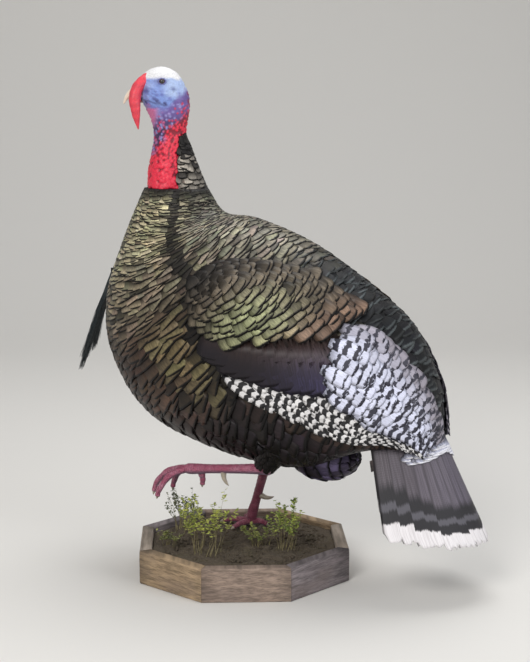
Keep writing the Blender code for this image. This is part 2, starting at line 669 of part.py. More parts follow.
def make_tail(bird, hinge, coats, form):
    """A fan of broad feathers on a block that tilts on a bolt across the rump, held by a bracket."""
    axis = np.array((TAIL_AXIS[0], 0.0, TAIL_AXIS[1]))
    inside = TAIL_TONGUE_WIDTH / 2 + RUNNING_GAP
    outside = inside + TAIL_CHEEK
    reach = 2 * TAIL_TONGUE_HALF
    top = axis[2] + reach + TAIL_STEM
    low = axis[2] - TAIL_BOLT_RADIUS - TAIL_CHEEK_WALL
    centre = (axis[0], 0.0, (top + low) / 2)
    size = np.array((TAIL_CHEEK_HALF, outside, (top - low) / 2))
    bracket = block("tail_bracket", centre, size, bird, coats["steel"])
    slot_size = (TAIL_CHEEK_HALF * 2, inside, reach)
    cut(bracket, helper(block("tail_slot", axis, slot_size, bird, None)))
    cut(form, helper(block("tail_pocket", centre, size + SEAT, bird, None)))
    bolt_end = outside + BOLT_HEAD_HEIGHT + BOLT_END_SHOWING
    route = [axis - (outside + SEAT) * BIRD_LEFT, axis + bolt_end * BIRD_LEFT]
    bolt = sweep("tail_bolt", route, TAIL_BOLT_RADIUS, 10, bird, coats["steel"])
    head = [axis - (outside + SEAT) * BIRD_LEFT, axis - (outside + SEAT + BOLT_HEAD_HEIGHT) * BIRD_LEFT]
    bolt_head = sweep("tail_bolt_head", head, BOLT_HEAD_RADIUS, 6, bird, None)
    join(bolt, bolt_head)
    longer = [axis - (bolt_end + OVERRUN) * BIRD_LEFT, axis + (bolt_end + OVERRUN) * BIRD_LEFT]
    bore = helper(sweep("tail_bolt_bore", longer, TAIL_BOLT_RADIUS + SEAT, 10, bird, None))
    cut(bracket, bore)
    nut_route = [axis + (outside + SEAT) * BIRD_LEFT, axis + (outside + SEAT + BOLT_HEAD_HEIGHT) * BIRD_LEFT]
    nut = sweep("tail_nut", nut_route, BOLT_HEAD_RADIUS, 6, bird, coats["steel"])
    cut(nut, bore)
    down, over = tail_directions()
    ends = (-TAIL_TONGUE_HALF * down, (TAIL_ROOT + TAIL_SADDLE_LENGTH) * down)
    corners = ((-1, -1), (1, -1), (1, 1), (-1, 1))
    rings = []
    for end in ends:
        side = TAIL_TONGUE_WIDTH / 2 * BIRD_LEFT
        rings.append([end + a * side + b * TAIL_TONGUE_HALF * over for a, b in corners])
    holder = loft("tail_block", rings, hinge, coats["wood"])
    saddle = (TAIL_ROOT, TAIL_ROOT + TAIL_SADDLE_LENGTH)
    join(holder, tail_plate("tail_saddle", saddle, (-1.0, 1.0), 0.0, None, hinge))
    cut(holder, bore)
    wide = TAIL_FEATHERS // 2
    for i in range(TAIL_FEATHERS):
        middle = (1 - TAIL_FEATHER_SHARE) * (i - wide) / wide
        length = TAIL_LENGTH + (TAIL_OUTER_LENGTH - TAIL_LENGTH) * middle**2
        rows = np.append(np.linspace(TAIL_ROOT, TAIL_OUTER_LENGTH - TAIL_TIP_ROUND, 6), length)
        edges = (middle - TAIL_FEATHER_SHARE, middle + TAIL_FEATHER_SHARE)
        layer = TAIL_SADDLE_THICKNESS + SEAT + TAIL_LAYER_STEP * (wide - abs(i - wide))
        tail_plate(f"tail_feather_{i + 1}", rows, edges, layer, coats["tail"], hinge)


def toe(name, root, route, parent, radius=TOE_RADIUS):
    """A toe that tapers to its claw, from the foot outwards."""
    points = [root, *route]
    radii = np.linspace(radius, CLAW_RADIUS, len(points))
    return sweep(name, points, radii, 8, parent, None)


def make_legs(bird, coats, clearance, skin, form, rod_bore):
    """The right leg round the rod, the raised left leg on its wire, their spurs and the thigh plumage."""
    ankle = np.array((*RIGHT_FOOT, SOIL_TOP + ANKLE_ABOVE_SOIL))
    sole = SOIL_TOP + SEAT + TOE_RADIUS
    foot = np.array((*RIGHT_FOOT, sole))
    hock = np.array(RIGHT_HOCK)
    leg_route = [hock, hock + 0.25 * (ankle - hock), hock + 0.7 * (ankle - hock), ankle, foot]
    radii = [HOCK_RADIUS, SHANK_RADIUS, SHANK_RADIUS * 0.95, SHANK_RADIUS, TOE_RADIUS]
    right = sweep("right_leg", leg_route, radii, 10, bird, coats["leg"])
    claw = SOIL_TOP + SEAT + CLAW_RADIUS
    for number, (turn, length) in enumerate(RIGHT_TOES):
        ahead = np.array((math.cos(math.radians(turn)), math.sin(math.radians(turn)), 0.0))
        middle = foot + 0.55 * length * ahead + (0, 0, TOE_ARCH)
        tip = foot + length * ahead
        tip[2] = claw
        join(right, toe(f"right_toe_{number}", foot, [middle, tip], bird))
    cut(right, rod_bore)
    right_room = helper(sweep("right_leg_room", leg_route, np.array(radii) + SEAT, 10, bird, None))
    hock = np.array(LEFT_HOCK)
    ankle = np.array(LEFT_ANKLE)
    leg_route = [hock, hock + 0.2 * (ankle - hock), hock + 0.7 * (ankle - hock), ankle]
    radii = [HOCK_RADIUS, SHANK_RADIUS, SHANK_RADIUS * 0.95, TOE_RADIUS]
    left = sweep("left_leg", leg_route, radii, 10, bird, coats["leg"])
    back = hock - SEAT * (ankle - hock) / np.linalg.norm(ankle - hock)
    left_room = helper(sweep("left_leg_room", [back, *leg_route[1:]], np.array(radii) + SEAT, 10, bird, None))
    knuckle = ankle - HALLUX_UP_SHANK * (ankle - hock) / np.linalg.norm(ankle - hock)
    for number, steps in enumerate(LEFT_TOES):
        route = [ankle + np.array(step) for step in steps]
        join(left, toe(f"left_toe_{number}", ankle + LEFT_TOE_ROOT, route, bird))
    hallux = [knuckle + np.array(step) for step in HALLUX_ROUTE]
    join(left, toe("left_hallux", knuckle, hallux, bird, TOE_RADIUS * HALLUX_SHARE))
    wire = [LEFT_HIP, LEFT_HOCK, hock + WIRE_IN_SHANK * (ankle - hock)]
    sweep("left_leg_wire", wire, LEG_WIRE_RADIUS, 8, bird, coats["steel"])
    hip = np.array(LEFT_HIP)
    above = hip + SEAT * (hip - hock) / np.linalg.norm(hip - hock)
    below = wire[-1] + 2 * SEAT * (ankle - hock) / np.linalg.norm(ankle - hock)
    longer = [above, LEFT_HOCK, below]
    wire_bore = helper(sweep("left_wire_bore", longer, LEG_WIRE_RADIUS + SEAT, 8, bird, None))
    cut(left, wire_bore)
    for obj in (skin, form):
        cut(obj, wire_bore, rod_bore)
    right_ankle = np.array((*RIGHT_FOOT, SOIL_TOP + ANKLE_ABOVE_SOIL))
    spurs = (("right", np.array(RIGHT_HOCK), right_ankle, RIGHT_SPUR_PLACE),)
    spurs += (("left", np.array(LEFT_HOCK), np.array(LEFT_ANKLE), LEFT_SPUR_PLACE),)
    for side, top, bottom, share in spurs:
        shank = (bottom - top) / np.linalg.norm(bottom - top)
        back = np.cross(BIRD_LEFT, shank)
        back /= np.linalg.norm(back)
        root = top + share * (bottom - top) + back * (SHANK_RADIUS + SEAT)
        route = [root, root + 0.6 * SPUR_LENGTH * back, root + SPUR_LENGTH * back - 0.15 * SPUR_LENGTH * shank]
        radii = np.linspace(SPUR_RADIUS, SPUR_TIP_RADIUS, 3)
        sweep(f"{side}_spur", route, radii, 8, bird, coats["claw"])
    thighs = (("left", LEFT_HIP, LEFT_HOCK, wire_bore, left_room),)
    thighs += (("right", RIGHT_HIP, RIGHT_HOCK, rod_bore, right_room),)
    for side, hip, low, bore, leg_room in thighs:
        hip = np.array(hip)
        end = np.array(low) + (hip - low) / np.linalg.norm(hip - low) * (HOCK_RADIUS * 0.25)
        route = [hip, hip + 0.6 * (end - hip), hip + 0.85 * (end - hip), end]
        radii = [THIGH_TOP_RADIUS, THIGH_TOP_RADIUS * 0.8, THIGH_TOP_RADIUS * 0.5, THIGH_LOW_RADIUS]
        thigh = sweep(f"{side}_thigh_plumage", route, radii, 14, bird, coats["belly"])
        cut(thigh, clearance, bore, leg_room)


def make_vent(bird, coats, clearance):
    """The lobe of broad dark feathers under the tail."""
    vent = ball("vent_plumage", VENT_CENTRE, VENT_HALF, bird, coats["belly"], 8, 16)
    cut(vent, clearance)


def make_sprigs(coats):
    """Plastic sprigs: a stem with leaves drawn out of its sides, tier over tier."""
    turns = np.arange(6) * math.pi / 3
    for number, (x, y, height, leaf) in enumerate(SPRIGS):
        points = []
        for tier in range(SPRIG_TIERS + 1):
            radius = SPRIG_STEM_RADIUS * (1 - 0.4 * tier / SPRIG_TIERS)
            level = SOIL_TOP + SEAT + height * tier / SPRIG_TIERS
            points += [(x + radius * math.cos(a), y + radius * math.sin(a), level) for a in turns]
        faces = grid(SPRIG_TIERS + 1, 6, True)
        faces += [tuple(range(6)), tuple(range(SPRIG_TIERS * 6, SPRIG_TIERS * 6 + 6))]
        made = piece(f"sprig_{number + 1}", points, faces, None, coats["leaf"])
        work = bmesh.new()
        work.from_mesh(made.data)
        sides = sorted((f for f in work.faces if len(f.verts) == 4), key=lambda f: f.index)
        chosen = [f for k, f in enumerate(sides) if k >= 6 and (k + k // 6) % 2 == 0]
        for grow, narrow, rise in SPRIG_LEAF_STEPS:
            chosen = bmesh.ops.extrude_discrete_faces(work, faces=chosen)["faces"]
            for face in chosen:
                draw_leaf(face, (x, y), grow, narrow, (leaf / 3, leaf * rise))
        bmesh.ops.recalc_face_normals(work, faces=work.faces)
        work.to_mesh(made.data)
        work.free()


def draw_leaf(face, stem, grow, narrow, step):
    """Moves one face away from its stem by a step out and up, widened by grow and thinned by narrow."""
    middle = face.calc_center_median()
    away = np.array((middle.x - stem[0], middle.y - stem[1]))
    away /= np.linalg.norm(away)
    across = np.array((-away[1], away[0]))
    for vert in face.verts:
        offset = np.array((vert.co.x - middle.x, vert.co.y - middle.y))
        place = across * (offset @ across) * grow + away * step[0]
        height = (vert.co.z - middle.z) * narrow + step[1]
        vert.co = (middle.x + place[0], middle.y + place[1], middle.z + height)


def make_finishes():
    """The colour, roughness and metallic value of each kind of piece."""
    return {
        "board": finish("weathered_board", (0.30, 0.24, 0.20), 0.75),
        "soil": finish("soil", (0.045, 0.028, 0.018), 0.95),
        "steel": finish("zinc_steel", (0.55, 0.55, 0.56), 0.35, 1.0),
        "wood": finish("plain_wood", (0.45, 0.32, 0.18), 0.7),
        "foam": finish("foam_form", (0.72, 0.62, 0.40), 0.9),
        "plumage": finish("bronze_plumage", (0.075, 0.058, 0.040), 0.45),
        "neck": finish("olive_neck_plumage", (0.13, 0.12, 0.07), 0.45),
        "belly": finish("dark_belly_plumage", (0.022, 0.018, 0.024), 0.5),
        "coverts": finish("bronze_coverts", (0.10, 0.10, 0.06), 0.4),
        "secondaries": finish("violet_secondaries", (0.07, 0.045, 0.045), 0.35),
        "primaries": finish("barred_primaries", (0.45, 0.45, 0.47), 0.5),
        "tail": finish("tail_feather", (0.09, 0.075, 0.065), 0.5),
        "head": finish("head_skin", (0.42, 0.13, 0.16), 0.5),
        "snood": finish("red_snood", (0.75, 0.05, 0.05), 0.4),
        "beak": finish("horn_beak", (0.62, 0.52, 0.40), 0.4),
        "eye": finish("glass_eye", (0.03, 0.015, 0.008), 0.08),
        "beard": finish("black_bristle", (0.012, 0.011, 0.011), 0.55),
        "leg": finish("pink_leg_scale", (0.36, 0.12, 0.14), 0.45),
        "claw": finish("claw_horn", (0.33, 0.24, 0.20), 0.4),
        "leaf": finish("plastic_leaf", (0.25, 0.33, 0.04), 0.5),
    }


clear_scene()
coats = make_finishes()
floor, soil = make_base(coats)
make_sprigs(coats)
bird = empty("bird", None, (0.0, BIRD_OFFSET_Y, 0.0), BIRD_TURN)
head = empty("head_turn", bird, (*NECK_AXIS, NECK_JOINT_HEIGHT), HEAD_TURN_AT_REST)
beard_place = body_points(np.array(BEARD_STATION), np.array(0.0)) + (BEARD_PROUD, 0.0, 0.0)
beard_hinge = empty("beard_swing", bird, beard_place)
tail_hinge = empty("tail_tilt", bird, (TAIL_AXIS[0], 0.0, TAIL_AXIS[1]))
form, skin, collar, clearance = make_body(bird, coats)
make_wings(bird, coats)
cast = make_head(head, coats)
make_neck_rod(bird, coats, form, collar, cast)
rod_bore = make_rod(bird, coats, {"floor": floor, "soil": soil})
make_legs(bird, coats, clearance, skin, form, rod_bore)
make_vent(bird, coats, clearance)
make_beard(bird, beard_hinge, beard_place, coats, skin, form)
make_tail(bird, tail_hinge, coats, form)
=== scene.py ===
"""Looks of the turkey decoy: a feathered tom with a cast head on an octagonal box of soil."""

import math

import bmesh
import bpy
import numpy as np
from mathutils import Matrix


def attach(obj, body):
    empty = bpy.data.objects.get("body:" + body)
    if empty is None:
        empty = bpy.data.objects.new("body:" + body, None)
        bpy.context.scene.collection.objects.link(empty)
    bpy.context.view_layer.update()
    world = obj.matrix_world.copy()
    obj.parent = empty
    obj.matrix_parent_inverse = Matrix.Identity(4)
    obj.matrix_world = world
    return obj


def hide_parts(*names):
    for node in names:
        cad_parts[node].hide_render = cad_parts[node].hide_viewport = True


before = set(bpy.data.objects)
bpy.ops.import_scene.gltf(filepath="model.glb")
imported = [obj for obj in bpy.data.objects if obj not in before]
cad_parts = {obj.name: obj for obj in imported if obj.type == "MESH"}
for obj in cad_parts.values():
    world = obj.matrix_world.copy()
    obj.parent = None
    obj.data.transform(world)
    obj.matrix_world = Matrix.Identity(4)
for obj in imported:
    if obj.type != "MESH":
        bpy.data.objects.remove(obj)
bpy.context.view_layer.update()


# Base boards: eight sawn softwood boards, weathered grey-brown, mitred at their ends and nailed round a
# floor panel into an eight-sided box. Handling has eased their long edges.
class Tone:
    """A varying value in a finish, so that a pattern is written as ordinary arithmetic."""

    def __init__(self, finish, socket):
        self.finish = finish
        self.socket = socket

    def twin(self, output):
        """Another output of the node that gives this value."""
        return Tone(self.finish, self.socket.node.outputs[output])

    def math(self, operation, *others):
        inputs = dict(enumerate((self, *others)))
        return self.finish.node("ShaderNodeMath", {"operation": operation}, inputs)

    def __add__(self, other):
        return self.math("ADD", other)

    def __sub__(self, other):
        return self.math("SUBTRACT", other)

    def __rsub__(self, other):
        return self.math("MULTIPLY_ADD", -1.0, other)

    def __mul__(self, other):
        return self.math("MULTIPLY", other)

    __radd__ = __add__
    __rmul__ = __mul__

    def step(self, low, high):
        """Rises softly from 0 at low to 1 at high."""
        inputs = {"Value": self, "From Min": low, "From Max": high}
        return self.finish.node("ShaderNodeMapRange", {"interpolation_type": "SMOOTHSTEP"}, inputs)


class Finish:
    """A surface finish: a Principled shader and the patterns that feed it. Colours are given as seen."""

    def __init__(self, name, **fixed):
        self.material = bpy.data.materials.new(name)
        self.material.use_nodes = True
        self.tree = self.material.node_tree
        self.shader = self.tree.nodes["Principled BSDF"]
        self.feed(self.shader, {key.replace("_", " "): value for key, value in fixed.items()})

    def feed(self, node, inputs):
        for key, value in inputs.items():
            socket = node.inputs[key]
            if isinstance(value, Tone):
                self.tree.links.new(value.socket, socket)
            elif socket.type == "RGBA":
                socket.default_value = (*shade(value), 1.0)
            else:
                socket.default_value = value

    def node(self, kind, settings=None, inputs=None, output=0):
        made = self.tree.nodes.new(kind)
        for key, value in (settings or {}).items():
            setattr(made, key, value)
        self.feed(made, inputs or {})
        return Tone(self, made.outputs[output])

    def mix(self, share, first, second):
        """Colour that goes from the first to the second as the share rises."""
        return self.node("ShaderNodeMix", {"data_type": "RGBA"}, {0: share, 6: first, 7: second}, 2)

    def place(self, scale=(1.0, 1.0, 1.0), turn=0.0):
        """The point on the piece, turned about the upright and stretched."""
        spot = self.node("ShaderNodeTexCoord", output="Object")
        inputs = {"Vector": spot, "Rotation": (0.0, 0.0, turn), "Scale": scale}
        return self.node("ShaderNodeMapping", None, inputs)

    def noise(self, place, scale, detail=4.0, roughness=0.55):
        inputs = {"Vector": place, "Scale": scale, "Detail": detail, "Roughness": roughness}
        return self.node("ShaderNodeTexNoise", None, inputs)

    def paint(self, colour, **others):
        self.feed(self.shader, {"Base Color": colour, **others})
        return self

    def bump(self, height, depth, strength=1.0):
        inputs = {"Height": height, "Distance": depth, "Strength": strength}
        self.feed(self.shader, {"Normal": self.node("ShaderNodeBump", None, inputs)})
        return self


def shade(seen):
    """A colour as seen on screen, three values of 0 to 255, as light."""
    part = np.asarray(seen) / 255.0
    return np.where(part < 0.04045, part / 12.92, ((part + 0.055) / 1.055) ** 2.4)


def lattice(rows, columns, wrap=True):
    """Four-cornered faces of a grid of points, joined across its side edges if it wraps."""
    row, column = np.meshgrid(np.arange(rows - 1), np.arange(columns - (not wrap)), indexing="ij")
    here = row * columns
    after = (column + 1) % columns
    corners = (here + column, here + after, here + columns + after, here + columns + column)
    return np.stack(corners, -1).reshape(-1, 4)


def make_piece(name, points, faces, finish, body, slot, vane=None, tint=None, rim=None, welded=False):
    """A piece of the decoy, riding on one of its bodies, with its own surface map and colours.

    Without faces, its points are a grid of closed rings."""
    faces = lattice(*points.shape[:2]) if faces is None else faces
    points = np.asarray(points, np.float32).reshape(-1, 3)
    mesh = bpy.data.meshes.new(name)
    mesh.from_pydata(points.tolist(), [], faces.tolist())
    if vane is not None:
        layer = mesh.uv_layers.new(name="vane")
        layer.data.foreach_set("uv", np.asarray(vane, np.float32).reshape(-1, 2)[faces.ravel()].ravel())
    for label, colours in (("tint", tint), ("rim", rim)):
        if colours is not None:
            layer = mesh.attributes.new(label, "FLOAT_COLOR", "POINT")
            layer.data.foreach_set("color", np.asarray(colours, np.float32).ravel())
    if welded:
        work = bmesh.new()
        work.from_mesh(mesh)
        bmesh.ops.remove_doubles(work, verts=work.verts, dist=1e-6)
        bmesh.ops.recalc_face_normals(work, faces=work.faces)
        work.to_mesh(mesh)
        work.free()
    mesh.shade_smooth()
    mesh.materials.append(finish.material)
    made = bpy.data.objects.new(name, mesh)
    bpy.context.scene.collection.objects.link(made)
    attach(made, body)
    return made


def turns_round(count):
    """Evenly spaced turns of a full circle."""
    return np.linspace(0, 2 * math.pi, count, endpoint=False)


BASE_APOTHEM = 0.203
BOARD_HEIGHT = 0.066
BOARD_THICKNESS = 0.024
MITRE_GAP = 0.0004
EDGE_SQUARENESS = 0.16


def board_surface(turn):
    """A rounded-rectangle section carried from mitre to mitre, closed to its middle at each end."""
    around = turns_round(44)
    section = np.stack([np.cos(around), np.sin(around)], -1)
    section = np.sign(section) * np.abs(section) ** EDGE_SQUARENESS * (BOARD_THICKNESS / 2, BOARD_HEIGHT / 2)
    run = np.array((-1, -1, -0.5, 0, 0.5, 1, 1))[:, None]
    grown = np.array((0, 1, 1, 1, 1, 1, 0))[:, None, None]
    out, up = np.moveaxis(section * grown, -1, 0)
    out = out + BASE_APOTHEM - BOARD_THICKNESS / 2
    along = run * (out * math.tan(math.pi / 8) - MITRE_GAP)
    x = out * math.cos(turn) - along * math.sin(turn)
    y = out * math.sin(turn) + along * math.cos(turn)
    return np.stack([x, y, np.broadcast_to(up + BOARD_HEIGHT / 2, x.shape)], -1)


def sawn_wood(name, turn, pale, dark):
    """Weathered softwood: long grain along the board, fine saw marks and a few dark stains."""
    coat = Finish(name, Roughness=0.85)
    grain = coat.noise(coat.place((30.0, 5.0, 170.0), -turn), 1.0, 5.0, 0.6)
    fine = coat.noise(coat.place((90.0, 9.0, 700.0), -turn), 1.0, 3.0)
    stain = coat.noise(coat.place((9.0, 7.0, 16.0), -turn), 1.0, 3.0)
    share = (grain * 0.75 + fine * 0.45).step(0.42, 0.78)
    worn = coat.mix(share, dark, pale)
    colour = coat.mix(stain.step(0.52, 0.75) * 0.4, worn, (112, 98, 92))
    return coat.paint(colour, Roughness=0.95 - share * 0.2).bump(grain + fine * 0.6, 0.0012, 0.8)


BOARD_TONES = np.array(((178, 164, 150), (184, 158, 126), (168, 147, 132), (142, 132, 134)))
GRAIN_DARKNESS = 0.66
for number in range(8):
    turn = number * math.pi / 4
    pale = BOARD_TONES[number % 4]
    wood = sawn_wood(f"board_wood_{number + 1}", turn, pale, GRAIN_DARKNESS * pale)
    name = f"weathered_board_{number + 1}"
    board = make_piece(name, board_surface(turn), None, wood, "stand", "board", welded=True)
    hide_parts(f"base_board_{number + 1}")


# Floor panel and hidden fixings: a plywood floor carries the threaded leg rod with its washer and nut. The
# metal is zinc-plated steel, blackened at the beard, and the bird's form is rigid foam.
def coat_nodes(finish, *nodes):
    """Gives a finish to pieces that show as they are built."""
    for node in nodes:
        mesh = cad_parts[node].data
        mesh.materials.clear()
        mesh.materials.append(finish.material)


def plated_steel(name, dark, light):
    """Metal whose colour and shine drift together with a fine cloud."""
    coat = Finish(name, Metallic=1.0)
    cloud = coat.noise(coat.place(), 160.0, 3.0)
    return coat.paint(coat.mix(cloud, dark, light), Roughness=0.28 + cloud * 0.22)


def cloudy(name, roughness, dark, light, scale, detail, stretch=(1.0, 1.0, 1.0)):
    """Two colours mixed by noise."""
    coat = Finish(name, Roughness=roughness)
    return coat.paint(coat.mix(coat.noise(coat.place(stretch), scale, detail), dark, light))


coat_nodes(sawn_wood("floor_wood", 0.0, (176, 148, 112), (136, 108, 78)), "base_floor")
coat_nodes(sawn_wood("tail_block_wood", 0.4, (62, 55, 54), (40, 35, 35)), "tail_block")
zinc = plated_steel("zinc_plate", (150, 150, 148), (196, 196, 190))
coat_nodes(zinc, "leg_rod", "rod_washer", "rod_nut", "left_leg_wire", "neck_rod")
coat_nodes(zinc, "tail_bracket", "tail_bolt", "tail_nut")
black_oxide = plated_steel("black_oxide", (26, 25, 25), (44, 42, 41))
coat_nodes(black_oxide, "beard_pin", "beard_bracket", "beard_knuckle")
coat_nodes(cloudy("rigid_foam", 0.9, (196, 172, 116), (216, 196, 142), 300.0, 2.0), "body_form")

# Soil: dark potting earth heaped in the box, crumbly, with clods and grit lying loose on it. It is glued
# ground, so it is one piece with its crumbs set into it.
SOIL_TOP = 0.058
SOIL_UNDER = 0.0165
SOIL_EDGE = BASE_APOTHEM - BOARD_THICKNESS - 0.0008
PLANTED_FOOT = np.array((0.0212, 0.1042))
CLODS = 420
CRUMBS = 1500
chance = np.random.default_rng(5)


def soil_relief(x, y):
    """Height of the ground: slow swells and many round clods, kept low under the planted foot."""
    swell = 0.0016 * np.sin(31 * x + 1.3) * np.cos(27 * y) + 0.0012 * np.sin(73 * x - 41 * y)
    spots = chance.uniform(-0.19, 0.19, (CLODS, 2))
    size = chance.uniform(0.004, 0.013, CLODS)
    near = (x[..., None] - spots[:, 0]) ** 2 + (y[..., None] - spots[:, 1]) ** 2
    clods = (0.42 * size * np.clip(1 - near / size**2, 0, 1)).max(axis=-1)
    to_foot = np.hypot(x - PLANTED_FOOT[0], y - PLANTED_FOOT[1])
    clear = np.clip((to_foot - 0.055) / 0.04, 0, 1)
    return -0.003 + (swell + clods) * (0.25 + 0.75 * clear)


def soil_surface():
    """Rings from the middle to the boards over the relief, then down and back underneath."""
    around = turns_round(128)
    wall = SOIL_EDGE / np.cos((around + math.pi / 8) % (math.pi / 4) - math.pi / 8)
    share = np.concatenate([np.linspace(0, 1, 64), (1.0, 0.0)])[:, None]
    x = share * wall * np.cos(around)
    y = share * wall * np.sin(around)
    z = SOIL_TOP + soil_relief(x, y)
    z[-2:] = SOIL_UNDER
    return np.stack([x, y, z], -1)


def earth():
    """Dark and pale crumbs by fine noise, tinged green where slow noise is high."""
    coat = Finish("potting_earth", Roughness=1.0)
    spot = coat.place()
    crumb = coat.noise(spot, 420.0, 5.0, 0.7)
    damp = coat.noise(spot, 26.0, 3.0)
    dark = coat.mix(crumb, (50, 44, 38), (136, 122, 104))
    return coat.paint(coat.mix(damp.step(0.5, 0.75) * 0.4, dark, (112, 106, 78))).bump(crumb, 0.004)


def repeat_faces(pattern, points, count):
    """The faces of many like items, each with the same number of points."""
    pattern = np.asarray(pattern)
    return (pattern + points * np.arange(count)[:, None, None]).reshape(-1, pattern.shape[1])


def scatter_crumbs():
    """Small six-sided lumps set at random over the ground, each stretched and skewed a little."""
    corner = np.array([(a, b, c) for c in (-1, 1) for b in (-1, 1) for a in (-1, 1)], float)
    reach = SOIL_EDGE * np.sqrt(chance.uniform(0, 0.92, CRUMBS))
    turn = chance.uniform(0, 2 * math.pi, CRUMBS)
    middle = np.stack([reach * np.cos(turn), reach * np.sin(turn), 0 * turn + SOIL_TOP - 0.0018], -1)
    size = chance.uniform(0.0008, 0.0026, (CRUMBS, 1, 1)) * chance.uniform(0.6, 1.3, (CRUMBS, 8, 3))
    return middle[:, None, :] + corner * size


soil_coat = earth()
soil = make_piece("ground", soil_surface(), None, soil_coat, "stand", "soil", welded=True)
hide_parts("soil_fill")
LUMP_FACES = ((0, 2, 3, 1), (4, 5, 7, 6), (0, 1, 5, 4), (2, 6, 7, 3), (0, 4, 6, 2), (1, 3, 7, 5))
lump_faces = repeat_faces(LUMP_FACES, 8, CRUMBS)
make_piece("ground_crumbs", scatter_crumbs(), lump_faces, soil_coat, "stand", "soil")

# Greenery: five plastic sprigs pushed into the soil, each a tuft of wiry stems with small paired leaves,
# moulded in yellow-green to dull fern green.
LEAF_CORNERS = ((0, 0, 0), (0.55, 0.36, 0), (1, 0, 0), (0.55, -0.36, 0), (0.5, 0, 0.05), (0.5, 0, -0.02))
LEAF_FACES = ((0, 3, 4), (3, 2, 4), (2, 1, 4), (1, 0, 4), (3, 0, 5), (2, 3, 5), (1, 2, 5), (0, 1, 5))


def thin_rods(routes, thick):
    """Three-sided rods along routes, with a level ring at each point."""
    ring = np.radians((90, 210, 330))
    circle = np.stack([np.cos(ring), np.sin(ring), 0 * ring], -1)
    steps = routes.shape[1]
    points = routes[:, :, None, :] + thick[..., None, None] * circle
    return points, repeat_faces(lattice(steps, 3), 3 * steps, len(routes))


def stem_routes(foot, height, spread, stems):
    """Stems: at share s, a foot set off from the middle + s upwards + a bow outwards."""
    heading = chance.uniform(0, 2 * math.pi, stems)[:, None]
    bow = spread * np.sqrt(chance.uniform(0.05, 1, stems))[:, None]
    tall = height * chance.uniform(0.55, 1.0, stems)[:, None]
    share = np.linspace(0, 1, 7)
    out = bow * (0.45 + 0.55 * share**1.6)
    wave = 0.10 * spread * np.sin(7 * share + heading)
    x = foot[0] + out * np.cos(heading) - wave * np.sin(heading)
    y = foot[1] + out * np.sin(heading) + wave * np.cos(heading)
    return np.stack([x, y, SOIL_TOP - 0.004 + tall * share], -1)


def leaf_points(routes, leaves, leaf):
    """Leaves on each stem's upper half: flat diamonds on a random slant with a raised middle."""
    stems, steps = routes.shape[:2]
    spot = chance.uniform(0.52, 1.0, (stems, leaves)) * (steps - 1)
    low = np.minimum(spot.astype(int), steps - 2)
    part = (spot - low)[..., None]
    stem = np.arange(stems)[:, None]
    root = (routes[stem, low] * (1 - part) + routes[stem, low + 1] * part).reshape(-1, 3)
    turn = chance.uniform(0, 2 * math.pi, len(root))
    rise = chance.uniform(-0.2, 0.9, len(root))
    ahead = np.stack([np.cos(turn) * np.cos(rise), np.sin(turn) * np.cos(rise), np.sin(rise)], -1)
    side = np.stack([-np.sin(turn), np.cos(turn), 0 * turn], -1)
    over = np.cross(ahead, side)
    size = leaf * chance.uniform(0.6, 1.15, len(root))[:, None]
    return np.stack([root + size * (a * ahead + b * side + c * over) for a, b, c in LEAF_CORNERS], 1)


def leaf_plastic(name, fresh, dull):
    """Two colours that change softly from place to place."""
    coat = Finish(name, Roughness=0.5)
    return coat.paint(coat.mix(coat.noise(coat.place(), 70.0, 3.0).step(0.35, 0.65), dull, fresh))


GREENERY = (
    ((-0.073, -0.072), 0.136, 0.062, 17, 26, 0.0098, (204, 208, 104), (140, 152, 70)),
    ((-0.117, 0.077), 0.088, 0.044, 20, 22, 0.0062, (122, 132, 88), (78, 90, 62)),
    ((0.036, -0.031), 0.056, 0.046, 14, 15, 0.0082, (182, 188, 98), (112, 124, 66)),
    ((0.086, -0.053), 0.110, 0.042, 13, 26, 0.0094, (194, 204, 98), (122, 142, 66)),
    ((-0.145, -0.024), 0.040, 0.030, 10, 13, 0.0078, (172, 176, 104), (108, 116, 70)),
)
STEM_TAPER = 0.0007 * (1.15 - np.linspace(0, 1, 7))
stem_coat = leaf_plastic("stem_plastic", (164, 152, 112), (112, 104, 72))
for number, (foot, height, spread, stems, leaves, leaf, fresh, dull) in enumerate(GREENERY, 1):
    routes = stem_routes(foot, height, spread, stems)
    make_piece(f"sprig_stems_{number}", *thin_rods(routes, STEM_TAPER), stem_coat, "stand", "leaf")
    points = leaf_points(routes, leaves, leaf)
    faces = repeat_faces(LEAF_FACES, len(LEAF_CORNERS), len(points))
    green = leaf_plastic(f"leaf_plastic_{number}", fresh, dull)
    blades = make_piece(f"sprig_leaves_{number}", points, faces, green, "stand", "leaf")
    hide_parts(f"sprig_{number}")

# Legs: cast in tinted resin from real legs, pink to purple, with scutes in rings down the front of the
# shank and pads under the toes. The right leg stands round the rod, the left is raised on a wire. Claws and
# spurs are pale horn.
BIRD_TURN = math.radians(155)
BIRD_SHIFT = np.array((0.0, 0.030, 0.0))
BIRD_LEFT = np.array((0.0, 1.0, 0.0))
TOE_SIDE = (0.1, 0.9, 0.2)
SHANK_RADIUS = 0.0095
HOCK_RADIUS = 0.0125
TOE_RADIUS = 0.0070


def bird_turned(points):
    """Directions of the bird, given forward, left and up, as it stands turned on the base."""
    x, y, z = np.moveaxis(np.asarray(points, float), -1, 0)
    cos, sin = math.cos(BIRD_TURN), math.sin(BIRD_TURN)
    return np.stack([cos * x - sin * y, sin * x + cos * y, z], -1)


def on_base(points):
    """Points of the bird, given forward, left and up, on the base."""
    return BIRD_SHIFT + bird_turned(points)


